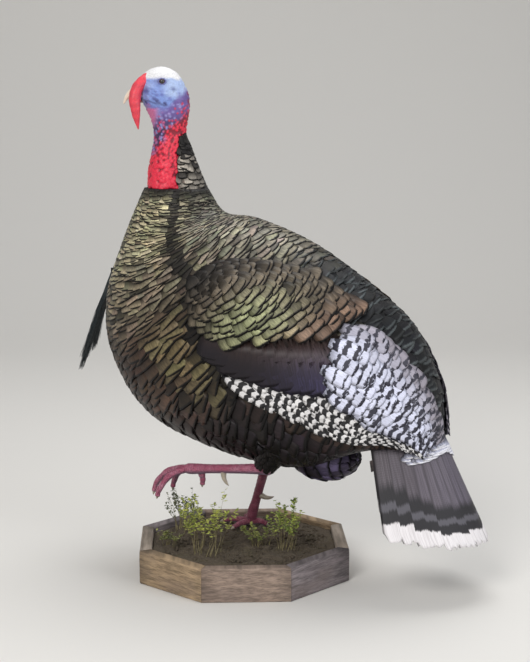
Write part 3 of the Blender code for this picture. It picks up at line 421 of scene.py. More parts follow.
def along_rows(rows, at):
    """Values on a smooth curve through rows of numbers, carried straight on past both ends."""
    rows = np.asarray(rows, float)
    slopes = np.gradient(rows, axis=0)
    last = len(rows) - 1
    inside = np.clip(at, 0, last)
    index = np.minimum(inside.astype(int), last - 1)
    f = (inside - index)[..., None]
    near = rows[index] * (2 * f**3 - 3 * f**2 + 1) + slopes[index] * (f**3 - 2 * f**2 + f)
    far = rows[index + 1] * (3 * f**2 - 2 * f**3) + slopes[index + 1] * (f**3 - f**2)
    past = np.where(at < 0, at, np.maximum(at - last, 0))
    return near + far + past[..., None] * slopes[np.where(at < 0, 0, last)]


def unit(ways):
    """Directions of length one."""
    return ways / np.linalg.norm(ways, axis=-1, keepdims=True)


def round_bar(route, radii, steps, sides, reference, swell=lambda share, turn: 1.0):
    """Circles square to a smooth route, their radius times the swell, closed at both ends."""
    at = np.linspace(0, len(route) - 1, steps)
    middle = along_rows(route, at)
    ahead = unit(np.gradient(middle, axis=0))
    side = unit(np.cross(ahead, reference))
    other = np.cross(side, ahead)
    turn = turns_round(sides)
    size = along_rows(np.asarray(radii, float)[:, None], at) * swell(at[:, None] / at[-1], turn[None, :])
    ring = np.cos(turn)[:, None] * side[:, None] + np.sin(turn)[:, None] * other[:, None]
    ends = np.broadcast_to(middle[[0, -1], None], (2, sides, 3))
    return np.concatenate([ends[:1], middle[:, None] + size[..., None] * ring, ends[1:]])


def gather(parts):
    """Several grids of closed rings as one set of points and faces."""
    starts = np.cumsum([0] + [part.shape[0] * part.shape[1] for part in parts])
    points = [part.reshape(-1, 3) for part in parts]
    faces = [lattice(*part.shape[:2]) + start for part, start in zip(parts, starts)]
    return np.concatenate(points), np.concatenate(faces)


def scutes(share, turn):
    """Horn plates: the radius grows down each plate and falls back at its edge, less behind."""
    plate = (share * 26) % 1.0
    front = 0.5 + 0.5 * np.cos(turn)
    return 1.0 + 0.09 * (plate - 0.5) * (0.35 + 0.65 * front) + 0.03 * np.sin(5 * turn)


def pads(share, turn):
    """Toe joints: rounded swellings with thin grooves between, and fine plates across the top."""
    return 1.0 + 0.16 * np.abs(np.sin(3.5 * math.pi * share)) + 0.05 * (((share * 15) % 1.0) - 0.5)


def leg_parts(hock, ankle, foot, toes):
    """The shank from hock to foot and its toes, each toe a bar that ends where its claw begins."""
    shank = ankle - hock
    route = [hock - 0.008 * shank / 0.13, hock + 0.22 * shank, hock + 0.7 * shank, ankle, foot]
    radii = [HOCK_RADIUS, *(SHANK_RADIUS * np.array((1.02, 0.94, 1.12))), TOE_RADIUS * 1.05]
    bars = [round_bar(route, radii, 110, 22, BIRD_LEFT, scutes)]
    claws = []
    for toe in toes:
        last = len(toe) - 1
        route = along_rows(toe, np.linspace(0, last - 0.25, 6))
        bars.append(round_bar(route, TOE_RADIUS * np.linspace(1.0, 0.62, 6), 44, 14, TOE_SIDE, pads))
        end = along_rows(toe, np.linspace(last - 0.42, last, 4))
        end[-1, 2] -= 0.001
        claws.append(round_bar(end, (0.0042, 0.0040, 0.0026, 0.0007), 14, 10, TOE_SIDE))
    return bars, claws


def leg_resin(name, deep, light, crack):
    """Cloudy pink skin split by fine scales, with painted shade that turns it grey-blue where it faces down.
    """
    coat = Finish(name, Roughness=0.42)
    spot = coat.place()
    cells = {"Vector": spot, "Scale": 430.0}
    groove = coat.node("ShaderNodeTexVoronoi", {"feature": "DISTANCE_TO_EDGE"}, cells).step(0.0, 0.16)
    skin = coat.mix(coat.noise(spot, 55.0, 3.0).step(0.38, 0.66), deep, light)
    # Painted shade: where the surface faces down, the skin is mixed to grey-blue.
    facing = coat.node("ShaderNodeNewGeometry", output="Normal")
    upward = coat.node("ShaderNodeSeparateXYZ", None, {0: facing}, 2)
    skin = coat.mix(upward.step(-0.85, -0.05), (124, 120, 142), skin)
    coat.paint(coat.mix(groove, crack, skin), Roughness=0.55 - groove * 0.15)
    return coat.bump(groove, 0.0009, 0.9)


# The planted leg gets the raised leg's resin colours made darker, painted shade on the far leg.
leg_coats = {
    "right": leg_resin("planted_leg_shaded_resin", (146, 64, 88), (176, 104, 122), (96, 44, 62)),
    "left": leg_resin("raised_leg_resin", (190, 98, 126), (212, 142, 164), (122, 62, 86)),
}
horn_coat = cloudy("claw_horn", 0.35, (118, 106, 104), (206, 194, 170), 3.0, 3.0, (60.0, 60.0, 200.0))
right_hock = np.array((-0.022, -0.070, 0.196))
right_ankle = np.array((0.012, -0.076, 0.084))
right_foot = np.array((0.012, -0.076, SOIL_TOP + TOE_RADIUS + 0.0006))
right_toes = []
for heading, length in ((6, 0.070), (62, 0.056), (-50, 0.056), (186, 0.034)):
    ahead = length * np.array((math.cos(math.radians(heading)), math.sin(math.radians(heading)), 0.0))
    rises = np.array((0.002, 0.0025, 0.0030 - TOE_RADIUS))
    right_toes.append([right_foot + part * ahead + (0, 0, rise) for part, rise in zip((0, 0.55, 1), rises)])
left_hock = np.array((-0.075, 0.066, 0.220))
left_ankle = np.array((0.098, 0.060, 0.203))
LEFT_TOES = (
    ((-0.006, 0, 0), (0.034, -0.002, -0.008), (0.064, -0.004, -0.034), (0.074, -0.004, -0.062)),
    ((-0.006, 0, 0), (0.024, 0.016, -0.012), (0.044, 0.026, -0.040), (0.050, 0.028, -0.060)),
    ((-0.006, 0, 0), (0.022, -0.020, -0.012), (0.040, -0.032, -0.036), (0.046, -0.034, -0.056)),
    ((-0.030, 0.001, 0.003), (-0.034, -0.007, -0.017), (-0.032, -0.009, -0.037)),
)
left_toes = [left_ankle + np.array(toe) for toe in LEFT_TOES]
legs = {
    "right": leg_parts(right_hock, right_ankle, right_foot, right_toes),
    "left": leg_parts(left_hock, left_ankle - (0.012, 0, 0), left_ankle, left_toes),
}
for side, (bars, claws) in legs.items():
    points, faces = gather(bars)
    coat = leg_coats[side]
    leg = make_piece(f"{side}_leg_cast", on_base(points), faces, coat, "stand", "leg", welded=True)
    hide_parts(f"{side}_leg")
    points, faces = gather(claws)
    make_piece(f"{side}_claws", on_base(points), faces, horn_coat, "stand", "claw", welded=True)
SPURS = (("right", right_hock, right_ankle, 0.62), ("left", left_hock, left_ankle, 0.52))
SPUR_STEPS = ((0, 0), (0.012, 0), (0.022, -0.004), (0.028, -0.009))
for side, top, bottom, share in SPURS:
    shank = unit(bottom - top)
    back = np.cross(BIRD_LEFT, shank)
    root = top + share * (bottom - top) + back * SHANK_RADIUS * 0.7
    route = [root + out * back + down * shank for out, down in SPUR_STEPS]
    spike = round_bar(route, (0.0062, 0.0046, 0.0028, 0.0006), 22, 14, BIRD_LEFT)
    spur = make_piece(f"{side}_spur_horn", on_base(spike), None, horn_coat, "stand", "claw", welded=True)
    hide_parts(f"{side}_spur")

# Body plumage: real-looking contour feathers glued in overlapping rows from the neck to the vent over a
# dark skin on the foam form. Each has a dull gold, copper or black middle with a sheen and a dark rim, the
# rump's a teal rim.
BODY_STATIONS = (
    (0.205, 0.751, 0.079, 0.751, 0.058),
    (0.249, 0.648, 0.045, 0.706, 0.086),
    (0.285, 0.528, -0.026, 0.696, 0.124),
    (0.272, 0.412, -0.140, 0.653, 0.148),
    (0.190, 0.299, -0.255, 0.580, 0.156),
    (0.032, 0.238, -0.346, 0.503, 0.148),
    (-0.130, 0.219, -0.396, 0.402, 0.120),
    (-0.248, 0.266, -0.410, 0.314, 0.084),
)
VANE_ROWS = np.array((0.0, 0.40, 0.72, 0.92, 1.0))
VANE_WIDTHS = np.array((0.45, 0.92, 1.00, 0.84, 0.44))
VANE_POINTS = 34


def body_surface(station, angle, out):
    """Ellipses: middle + depth times cosine forward + half width times sine left, moved out."""
    at = along_rows(BODY_STATIONS, np.asarray(station, float))
    front_x, front_z, back_x, back_z, width = np.moveaxis(at, -1, 0)
    reach_x, reach_z = (front_x - back_x) / 2, (front_z - back_z) / 2
    depth = np.hypot(reach_x, reach_z)
    part = (depth + out) * np.cos(angle) / depth
    x = (front_x + back_x) / 2 + part * reach_x
    z = (front_z + back_z) / 2 + part * reach_z
    return np.stack([x, (width + out) * np.sin(angle), z], -1)


def vane_pattern():
    """One feather: an upper grid, and under it the inner points again, sharing the outer edge."""
    along, side = np.meshgrid(VANE_ROWS, np.linspace(-1, 1, 5), indexing="ij")
    under = np.arange(25).reshape(5, 5)
    under[1:4, 1:4] = 25 + np.arange(9).reshape(3, 3)
    upper_faces = lattice(5, 5, False)
    lower_faces = under.ravel()[upper_faces][:, ::-1]
    along, side = (np.concatenate([part.ravel(), part[1:4, 1:4].ravel()]) for part in (along, side))
    below = np.arange(VANE_POINTS) >= 25
    return along, side, below, np.concatenate([upper_faces, lower_faces])


def lay_feathers(surface, along, across, length, width, base, lift, turn=0.0, camber=0.03, thick=0.0005):
    """Feathers laid on a surface, each reached by going sideways and on from its root over that surface.

    At share v along and u across, a feather's half width is its width times the vane's outline, and its
    height above the surface is base + lift times v to the 1.5 + camber times width times (1 - u squared)."""
    v, u, below, pattern = vane_pattern()
    rows = np.broadcast_arrays(along, across, length, width, base, lift, turn)
    along, across, length, width, base, lift, turn = (row[:, None] for row in rows)
    here = surface(along, across, base)
    step = 1e-3
    on = (surface(along + step, across, base) - here) / step
    aside = (surface(along, across + step, base) - here) / step
    up = surface(along, across, base + step) - here
    on_on = (on * on).sum(-1)
    on_aside = (on * aside).sum(-1)
    square = np.sqrt((aside * aside).sum(-1) - on_aside**2 / on_on)
    x = width / 2 * np.interp(v, VANE_ROWS, VANE_WIDTHS) * u
    y = length * v
    step_across = (x * np.cos(turn) - y * np.sin(turn)) / square
    ahead = x * np.sin(turn) + y * np.cos(turn)
    step_along = (ahead * np.sqrt(on_on) - step_across * on_aside) / on_on
    height = base + lift * v**1.5 + camber * width * (1 - u**2) * (0.3 + 0.7 * v) - thick * below
    points = surface(along + step_along, across + step_across, height)
    turned = (np.cross(aside, on) * up).sum(-1).mean() < 0
    faces = repeat_faces(pattern[:, ::-1] if turned else pattern, VANE_POINTS, len(along))
    return points, faces, np.broadcast_to(np.stack([u / 2 + 0.5, v], -1), (len(along), VANE_POINTS, 2))


def plume_piece(name, laid, finish, slot, colours, body="stand", stance=on_base):
    """Laid feathers as a piece, each with its own colour, a rim's colour and their fourth values."""
    points, faces, vane = laid
    full = []
    for colour, fourth in colours:
        each = np.concatenate([np.broadcast_to(colour, (len(points), 3)), fourth[:, None]], 1)
        full.append(np.repeat(each, VANE_POINTS, axis=0))
    return make_piece(name, stance(points), faces, finish, body, slot, vane, *full)


def vane_map(coat):
    """A feather's own map: across, the distance from its middle line, and along."""
    spot = coat.node("ShaderNodeUVMap", {"uv_map": "vane"})
    across = coat.node("ShaderNodeSeparateXYZ", None, {0: spot})
    return across, (across * 2.0 - 1.0).math("ABSOLUTE"), across.twin(1)


def own_colour(coat, label):
    """A colour that a piece holds at its points, and its fourth value."""
    colour = coat.node("ShaderNodeAttribute", {"attribute_name": label}, None, "Color")
    return colour, colour.twin("Alpha")


def streaks(coat, across, along, seed, detail, roughness):
    """Noise drawn out over a feather's map, its own for each feather."""
    spot = coat.node("ShaderNodeCombineXYZ", None, {0: across, 1: along, 2: seed})
    return coat.noise(spot, 1.0, detail, roughness)


def feather_finish(name, roughness, metallic, rim_from, rim_to):
    """A vane: dark at its root as painted shade under the feather that overlaps it, its own colour to the
    tip, streaked by barbs, with a ragged rim.
    """
    coat = Finish(name, Roughness=roughness, Metallic=metallic, Specular_IOR_Level=0.25)
    across, side, along = vane_map(coat)
    colour, seed = own_colour(coat, "tint")
    barbs = streaks(coat, across * 20.0, along * 2.4 - side * 1.2, seed * 60.0, 3.0, 0.6)
    reach = along + side.math("POWER", 4.0) * 0.05 + barbs * 0.16 - 0.08
    # Painted shade: the vane darkens from its own colour towards its root, where the feather above covers
    # it.
    deep = coat.mix(0.78, colour, (16, 14, 14))
    lit = coat.mix(along.step(0.34, 0.82), deep, colour)
    streaked = coat.mix(barbs.step(0.36, 0.62) * 0.55 + 0.45, deep, lit)
    rimmed = coat.mix(reach.step(rim_from, rim_to), streaked, own_colour(coat, "rim")[0])
    return coat.paint(rimmed).bump(barbs, 0.0006, 0.5)


def soft_step(value, low, high):
    """0 below low, 1 above high, smooth between."""
    part = np.clip((np.asarray(value, float) - low) / (high - low), 0, 1)
    return part * part * (3 - 2 * part)


def layered(ground, *layers):
    """A ground colour with others laid over it in turn, each by its share. Tuples are colours as seen."""
    colour = shade(ground) if isinstance(ground, tuple) else ground
    for over, share in layers:
        over = shade(over) if isinstance(over, tuple) else over
        colour = colour + (over - colour) * np.asarray(share)[..., None]
    return colour


def pinched(points):
    """Rings of points, with the first and last ring drawn in to their middles."""
    points[[0, -1]] = points[[0, -1]].mean(axis=1, keepdims=True)
    return points


def skin_surface():
    """The body's ellipses in rows, closed to their middles at neck and vent."""
    station = np.concatenate([(0.0,), np.linspace(0.0, 7.0, 70), (7.0,)])[:, None]
    return pinched(body_surface(*np.broadcast_arrays(station, turns_round(96)), -0.0005))


skin_coat = cloudy("dark_skin", 0.9, (18, 16, 16), (46, 42, 40), 240.0, 4.0)
skin_points = on_base(skin_surface())
skin = make_piece("feather_skin", skin_points, None, skin_coat, "stand", "plumage", welded=True)
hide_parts("body_plumage", "neck_plumage")

ROWS_TO_STATION = (0, 15, 27, 38, 48, 56, 62, 67)
FEATHERS_AROUND = (38, 46, 46, 40, 37, 36, 32, 22)
WING_LOW_EDGE = (
    (2.45, 104), (3.0, 98), (3.4, 92), (3.66, 88), (4.28, 83), (5.0, 81), (5.44, 80), (6.26, 81), (7.0, 96)
)
WING_TOP_EDGE = (
    (2.45, 112), (2.6, 122), (2.8, 132), (3.0, 140), (3.5, 152), (4.9, 160), (6.5, 165), (7.0, 166)
)
# Where the painted shadow in the crease between breast and wing runs, as stations and angles.
WING_CREASE_SHADOW = (
    (0.0, 114), (1.2, 107), (2.1, 103), (2.55, 104), (3.0, 97), (3.4, 91), (3.9, 85), (4.4, 81)
)


def on_line(line, station):
    """A line of stations and values, read at any station."""
    return np.interp(station, *np.array(line).T)


def contour_places():
    """Roots of the contour feathers in rows, every other row set over by half a feather."""
    station, angle = [], []
    for row in range(ROWS_TO_STATION[-1] + 1):
        at = np.interp(row, ROWS_TO_STATION, np.arange(8))
        count = int(round(np.interp(at, np.arange(8), FEATHERS_AROUND)))
        station.append(np.full(count, at))
        angle.append((np.arange(count) + 0.5 * (row % 2)) * 2 * math.pi / count)
    station, angle = np.concatenate(station), np.concatenate(angle)
    station = (station + chance.normal(0, 0.020, len(station))).clip(0.0, None)
    angle = (angle + chance.normal(0, 0.030, len(angle))) % (2 * math.pi)
    side = np.degrees(np.where(angle > math.pi, 2 * math.pi - angle, angle))
    low, top = on_line(WING_LOW_EDGE, station), on_line(WING_TOP_EDGE, station)
    under_wing = (side > low + 14) & (side < top - 32)
    shown = ~(under_wing & (station > 3.0) & (station < 6.6))
    return station[shown], angle[shown], side[shown]


def contour_colours(station, side):
    """Colours by place: gold neck, copper breast, black belly, grey-brown back, dark rump; painted shade in
    the wing's crease, at the neck's front and under the red nodules.
    """
    count = len(station)
    gold = soft_step(station, 2.6, 3.1) * soft_step(4.5 - station, 0, 0.5) * soft_step(side, 54, 74)
    rump = soft_step(side, 126, 146) * soft_step(station, 2.6, 3.5)
    # The mask of the crease in front of the wing, for painted shadow.
    fold = np.exp(-(((side - on_line(WING_CREASE_SHADOW, station)) / 8.0) ** 4)) * soft_step(4.5 - station, 0, 0.3)
    middle = layered(
        (200, 192, 156),
        ((150, 138, 116), soft_step(station, 1.2, 2.3)),
        ((82, 63, 51), soft_step(station, 2.3, 3.1)),
        ((140, 130, 94), gold * chance.uniform(0.1, 0.9, count)),
        ((42, 36, 41), soft_step(station, 3.8, 4.8) * soft_step(104 - side, 0, 40)),
        ((150, 143, 126), soft_step(side, 106, 124) * soft_step(station, 0.3, 1.2)),
        # Painted shade down the front of the neck and upper breast.
        ((42, 35, 31), 0.8 * soft_step(48 - side, 0, 34) * soft_step(station, 0.1, 1.0)),
        ((21, 23, 28), rump),
        ((92, 90, 84), soft_step(side, 112, 140) * soft_step(1.2 - station, 0, 0.5) * 0.8),
        # Painted shadow: near-black on the feathers along the crease in front of the wing.
        ((18, 16, 16), 0.94 * fold),
        # Painted shadow on the first rows, under the red nodules that hang at the neck's foot.
        ((26, 24, 22), 0.85 * soft_step(0.16 - station, 0, 0.12)),
    )
    drift = 1.0 + 0.28 * np.sin(5.1 * station + 1.0) * np.sin(0.13 * side + 2.4 * station)
    middle = middle * drift[:, None] * chance.normal(1.0, 0.22, (count, 1)).clip(0.4, 1.6)
    middle = middle * chance.normal(1.0, 0.04, (count, 3))
    middle = middle * np.where(chance.uniform(0, 1, (count, 1)) < 0.08, 0.30, 1.0)
    return middle, layered((17, 15, 15), ((86, 92, 94), rump * chance.uniform(0.0, 1.0, count) ** 1.2))


def body_pace(station, angle, on, aside):
    """Distance over the body for each unit of station or turn, from a small step to both sides."""
    step = body_surface(station + on, angle + aside, 0.0) - body_surface(station - on, angle - aside, 0.0)
    return np.linalg.norm(step, axis=1) / (2 * (on + aside))


station, angle, side = contour_places()
count = len(station)
row_step = np.interp(station, np.arange(7) + 0.5, 1.0 / np.diff(ROWS_TO_STATION))
pace = body_pace(station, angle, 0.01, 0.0)
girth = body_pace(station, angle, 0.0, 0.01)
length = (2.4 * row_step * pace).clip(0.017, 0.060) * chance.normal(1.0, 0.12, count)
length = length * (0.55 + 0.45 * soft_step(station, -0.02, 0.15))
length = np.minimum(length, ((6.92 - 0.12 * soft_step(side, 110, 140) - station) * pace).clip(0.006, None))
spacing = girth * 2 * math.pi / np.interp(station, np.arange(8), FEATHERS_AROUND)
width = 1.85 * spacing * chance.normal(1.0, 0.10, count)
lift = 0.055 * length * (1 - 0.7 * soft_step(station, 5.9, 6.5))
tilt = chance.normal(0, 0.13, count)
laid = lay_feathers(body_surface, station, angle, length, width, 0.0004, lift, tilt)
middle, rim = contour_colours(station, side)
seeds = chance.uniform(0, 1, count)
contour_coat = feather_finish("contour_vane", 0.46, 0.16, 0.83, 0.91)
colours = ((middle, seeds), (rim, seeds))
plume_piece("contour_feathers", laid, contour_coat, "plumage", colours)


# Wings: folded against the sides. Scale-like bronze-green coverts lie over the shoulder, a smooth band of
# broad bronze to violet coverts below them, then the barred black-and-white flight feathers along the edge
# and over the rump.
def wing_surface(sign):
    """The body's side between the wing's edges: station, share of the way up, and height."""

    def place(station, share, out):
        low = on_line(WING_LOW_EDGE, station)
        top = on_line(WING_TOP_EDGE, station)
        return body_surface(station, sign * np.radians(low + (top - low) * share), out)

    return place


def share_on(line, station):
    """The share of the way up the wing at which a line of stations and angles crosses it."""
    low = on_line(WING_LOW_EDGE, station)
    return (on_line(line, station) - low) / (on_line(WING_TOP_EDGE, station) - low)


def rows_between(stations, low_line, high_share, spacing):
    """Places in staggered rows from a line up to a share of the wing, a set distance apart."""
    station, share = [], []
    for row, at in enumerate(stations):
        first = share_on(low_line, at)
        ends = wing_surface(1)(np.full(9, at), np.linspace(first, high_share, 9), 0.0)
        count = max(1, int(round(np.linalg.norm(np.diff(ends, axis=0), axis=1).sum() / spacing)))
        share.append(first + (high_share - first) * (np.arange(count) + 0.25 + 0.5 * (row % 2)) / count)
        station.append(np.full(count, at))
    station, share = np.concatenate(station), np.concatenate(share)
    return station + chance.normal(0, 0.016, len(station)), share + chance.normal(0, 0.008, len(share))


def bar_finish(name, bars, slant, mottle):
    """Barred vanes: dark bars that bend back from the shaft, uneven where the mottle is strong, on white.

    The rim's fourth value sets how much of the vane is dark."""
    coat = Finish(name, Roughness=0.55)
    across, side, along = vane_map(coat)
    colour, seed = own_colour(coat, "tint")
    ink, darkness = own_colour(coat, "rim")
    uneven = streaks(coat, along * 7.0, across * 3.2, seed * 60.0, 4.0, 0.65)
    barbs = streaks(coat, across * 18.0, along * 4.0, seed * 60.0, 2.0, 0.6)
    beat = (along * bars - side * slant + uneven * mottle + seed * 3.0) * (2 * math.pi)
    bar = (beat.math("SINE") + darkness * 2.0 - 1.0).step(-0.22, 0.22)
    pale = coat.mix(barbs.step(0.4, 0.7) * 0.3, colour, (128, 126, 140))
    return coat.paint(coat.mix(bar, pale, ink)).bump(barbs, 0.0005, 0.5)


def panel_finish():
    """Smooth vanes that turn from one colour to another towards the tip, finely streaked, with a black edge.

    The rim's fourth value sets how black the edge is."""
    coat = Finish("bronze_vane", Roughness=0.46, Metallic=0.10, Specular_IOR_Level=0.3)
    across, side, along = vane_map(coat)
    colour, seed = own_colour(coat, "tint")
    dusk, blackness = own_colour(coat, "rim")
    barbs = streaks(coat, across * 34.0, along * 1.6, seed * 60.0, 3.0, 0.65)
    shifted = coat.mix((along + barbs * 0.3 - 0.15).step(0.05, 0.85), colour, dusk)
    streaked = coat.mix(barbs.step(0.34, 0.66) * 0.7 + 0.3, (30, 24, 29), shifted)
    black = (along + side.math("POWER", 6.0) * 0.04 + barbs * 0.06 - 0.03).step(0.92, 0.965)
    return coat.paint(coat.mix(black * blackness, streaked, (22, 19, 22))).bump(barbs, 0.0004, 0.5)


def soft_spot(*offsets):
    """1 at a middle, falling off softly with offsets that are given in widths of the spot."""
    return np.exp(-sum(offset**2 for offset in offsets))


WING_FOOT = ((3.66, 88), (4.28, 84), (5.0, 86), (5.44, 87), (6.26, 88), (7.0, 97))
PANEL_HEAD = ((3.3, 95), (3.66, 98), (4.1, 115), (4.5, 130), (5.0, 138))
COVERT_FOOT = ((2.45, 106), (3.0, 97), (3.36, 95), (3.6, 102), (3.85, 117), (4.1, 133), (4.5, 146))
BARRED_FOOT = ((4.2, 142), (4.62, 120), (5.0, 107), (5.3, 105), (5.6, 106), (6.26, 107), (7.0, 110))
EDGE_ROWS = np.arange(4.05, 6.7, 0.17)
BARRED_ROWS = np.arange(4.22, 6.78, 0.15)
COVERT_ROWS = np.concatenate([np.arange(2.56, 3.5, 0.09), np.arange(3.5, 4.06, 0.11)])
LONG_FEATHERS = 7
PANEL_FEATHERS = 15
covert_coat = feather_finish("covert_vane", 0.44, 0.18, 0.86, 0.93)
panel_coat = panel_finish()
bar_coat = bar_finish("barred_vane", 3.0, 0.10, 1.05)
check_coat = bar_finish("checked_vane", 4.3, 0.22, 0.22)
long_coat = bar_finish("long_barred_vane", 5.2, 0.30, 0.12)
for name, sign in (("left", 1), ("right", -1)):
    wing = wing_surface(sign)

    # Flight feathers along the low edge: long, narrow and checked.
    station, share = rows_between(EDGE_ROWS, WING_FOOT, 0.34, 0.0125)
    count = len(station)
    base = 0.0035 + 0.010 * np.clip(share, 0, 0.3)
    tilt = chance.normal(0.05, 0.03, count)
    laid = lay_feathers(wing, station, share, 0.080, 0.0190, base, 0.002, tilt)
    seeds = chance.uniform(0, 1, count)
    pale = shade((236, 234, 234)) * chance.normal(1.0, 0.06, (count, 1)).clip(0.8, 1.1)
    colours = ((pale, seeds), (shade((24, 23, 27)), chance.uniform(0.46, 0.62, count)))
    plume_piece(f"{name}_edge_feathers", laid, check_coat, "primaries", colours)

    # Flight feathers over the rump: broad, whitish, mottled and barred, greyer and plainer along the top.
    station, share = rows_between(BARRED_ROWS, BARRED_FOOT, 0.97, 0.0190)
    kept = share < np.interp(station, (4.2, 4.5, 5.3, 6.3), (0.76, 0.80, 0.84, 0.95))
    station, share = station[kept], share[kept]
    count = len(station)
    base = 0.0045 + 0.008 * np.sin(math.pi * np.clip(share, 0, 1)) * soft_step(7.0 - station, 0, 1.0)
    reach = 0.064 - 0.026 * soft_step(station, 6.0, 6.8) * soft_step(share, 0.3, 0.5)
    tilt = chance.normal(-0.16, 0.07, count)
    laid = lay_feathers(wing, station, share, reach, 0.036, base, 0.0025, tilt)
    seeds = chance.uniform(0, 1, count)
    pale = layered((220, 223, 244), ((140, 132, 140), soft_step(share, 0.60, 0.82) * 0.9))
    pale = pale * chance.normal(1.0, 0.07, (count, 1))
    dark = 0.34 + 0.20 * soft_step(station, 5.7, 6.4) - 0.14 * soft_step(share, 0.6, 0.85)
    colours = ((pale, seeds), (shade((46, 45, 58)), dark + chance.normal(0, 0.13, count)))
    barred = plume_piece(f"{name}_barred_feathers", laid, bar_coat, "primaries", colours)
    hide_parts(f"{name}_wing_primaries")

    # The longest inner flight feathers: a few, lying over the others at the wing's end, with clean curved
    # bars.
    spread = np.linspace(0, 1, LONG_FEATHERS)
    station, share = 5.66 + 0.36 * spread, 0.62 - 0.26 * spread
    base, tilt = 0.0120 + 0.0020 * spread, 0.16 - 0.14 * spread
    laid = lay_feathers(wing, station, share, 0.098, 0.040, base, 0.001, tilt, 0.02)
    pale = shade((206, 208, 226)) * chance.normal(1.0, 0.05, (LONG_FEATHERS, 1))
    colours = ((pale, 0.30 + 0.06 * spread), (shade((48, 48, 62)), 0.52 + 0 * spread))
    plume_piece(f"{name}_long_feathers", laid, long_coat, "primaries", colours)

    # The smooth band: broad feathers pointing down and back, bronze at the top, dusky below and violet
    # behind.
    station = np.linspace(3.56, 4.68, PANEL_FEATHERS)
    share = share_on(PANEL_HEAD, station) + 0.03
    reach = np.interp(station, (3.36, 3.66, 4.1, 4.68), (0.042, 0.068, 0.112, 0.112))
    base = np.linspace(0.0085, 0.0105, PANEL_FEATHERS)
    laid = lay_feathers(wing, station, share, reach, 0.062, base, 0.0010, 0.74, 0.010)
    rear = soft_step(station, 3.8, 4.5)
    bronze = layered((58, 44, 39), ((86, 71, 66), rear))
    dusk = layered((26, 21, 27), ((66, 61, 94), rear))
    colours = ((bronze, chance.uniform(0, 1, PANEL_FEATHERS)), (dusk, rear))
    panel = plume_piece(f"{name}_bronze_feathers", laid, panel_coat, "secondaries", colours)
    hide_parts(f"{name}_wing_secondaries")

    # Scale coverts: small at the shoulder, larger down the wing, green-gold in the middle, brown towards
    # the back.
    station, share = rows_between(COVERT_ROWS, COVERT_FOOT, 0.99, 0.0150)
    count = len(station)
    grown = soft_step(station, 2.7, 4.3)
    base = 0.0065 + 0.0075 * np.sin(math.pi * np.clip(share, 0, 1)) * soft_step(station, 2.5, 3.0)
    size = chance.normal(1.0, 0.10, count)
    reach, width = (0.029 + 0.018 * grown) * size, (0.025 + 0.012 * grown) * size
    tilt = chance.normal(0.10, 0.10, count)
    laid = lay_feathers(wing, station, share, reach, width, base, 0.0022, tilt)
    seeds = chance.uniform(0, 1, count)
    green = soft_step(station, 2.9, 3.4) * soft_step(4.5 - station, 0, 0.5)
    green = green * soft_spot((share - 0.36) / 0.24)
    colour = layered(
        (112, 101, 86),
        ((156, 160, 120), green),
        ((126, 102, 86), soft_step(station, 3.6, 4.0)),
        # Painted shade on the front coverts, in the crease between breast and wing.
        ((46, 43, 41), 0.85 * soft_step(2.95 - station, 0, 0.35)),
    )
    colour = colour * chance.normal(1.0, 0.26, (count, 1)).clip(0.4, 1.6)
    colours = ((colour, seeds), (shade((17, 15, 15)), seeds))
    coverts = plume_piece(f"{name}_covert_feathers", laid, covert_coat, "coverts", colours)
    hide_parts(f"{name}_wing_coverts")

# Thighs and vent: short black down over the thighs and a lobe of broad purple-black feathers under the
# tail, glued to dark padded cores.
THIGH_RADII = np.array((0.060, 0.056, 0.046, 0.032, 0.020))[:, None]
VENT_MIDDLE = np.array((-0.175, 0.0, 0.240))
VENT_HALVES = np.array((0.068, 0.057, 0.045))


def thigh_surface(hip, hock):
    """A limb: circles that shrink from hip to hock, given share along, turn and height."""
    hip, hock = np.array(hip), np.array(hock)
    front = np.cross(BIRD_LEFT, unit(hock - hip))

    def place(share, turn, out):
        radius = along_rows(THIGH_RADII, share * 4) + np.asarray(out)[..., None]
        ring = np.cos(turn)[..., None] * front + np.sin(turn)[..., None] * BIRD_LEFT
        return hip + share[..., None] * (hock - hip) + radius * ring

    return place


def vent_surface(share, turn, out):
    """An egg-shaped lobe: share runs from its front to its tip behind, turn goes round it."""
    swing = math.pi * share
    ball = np.stack([np.cos(swing), np.sin(swing) * np.sin(turn), np.sin(swing) * np.cos(turn)], -1)
    return VENT_MIDDLE + (VENT_HALVES + np.asarray(out)[..., None]) * ball


def core_points(surface, first, last):
    """The dark core of a feathered lobe, closed to a point at both ends."""
    share = np.concatenate([(first,), np.linspace(first, last, 18), (last,)])[:, None]
    return pinched(surface(*np.broadcast_arrays(share, turns_round(28)), -0.001))


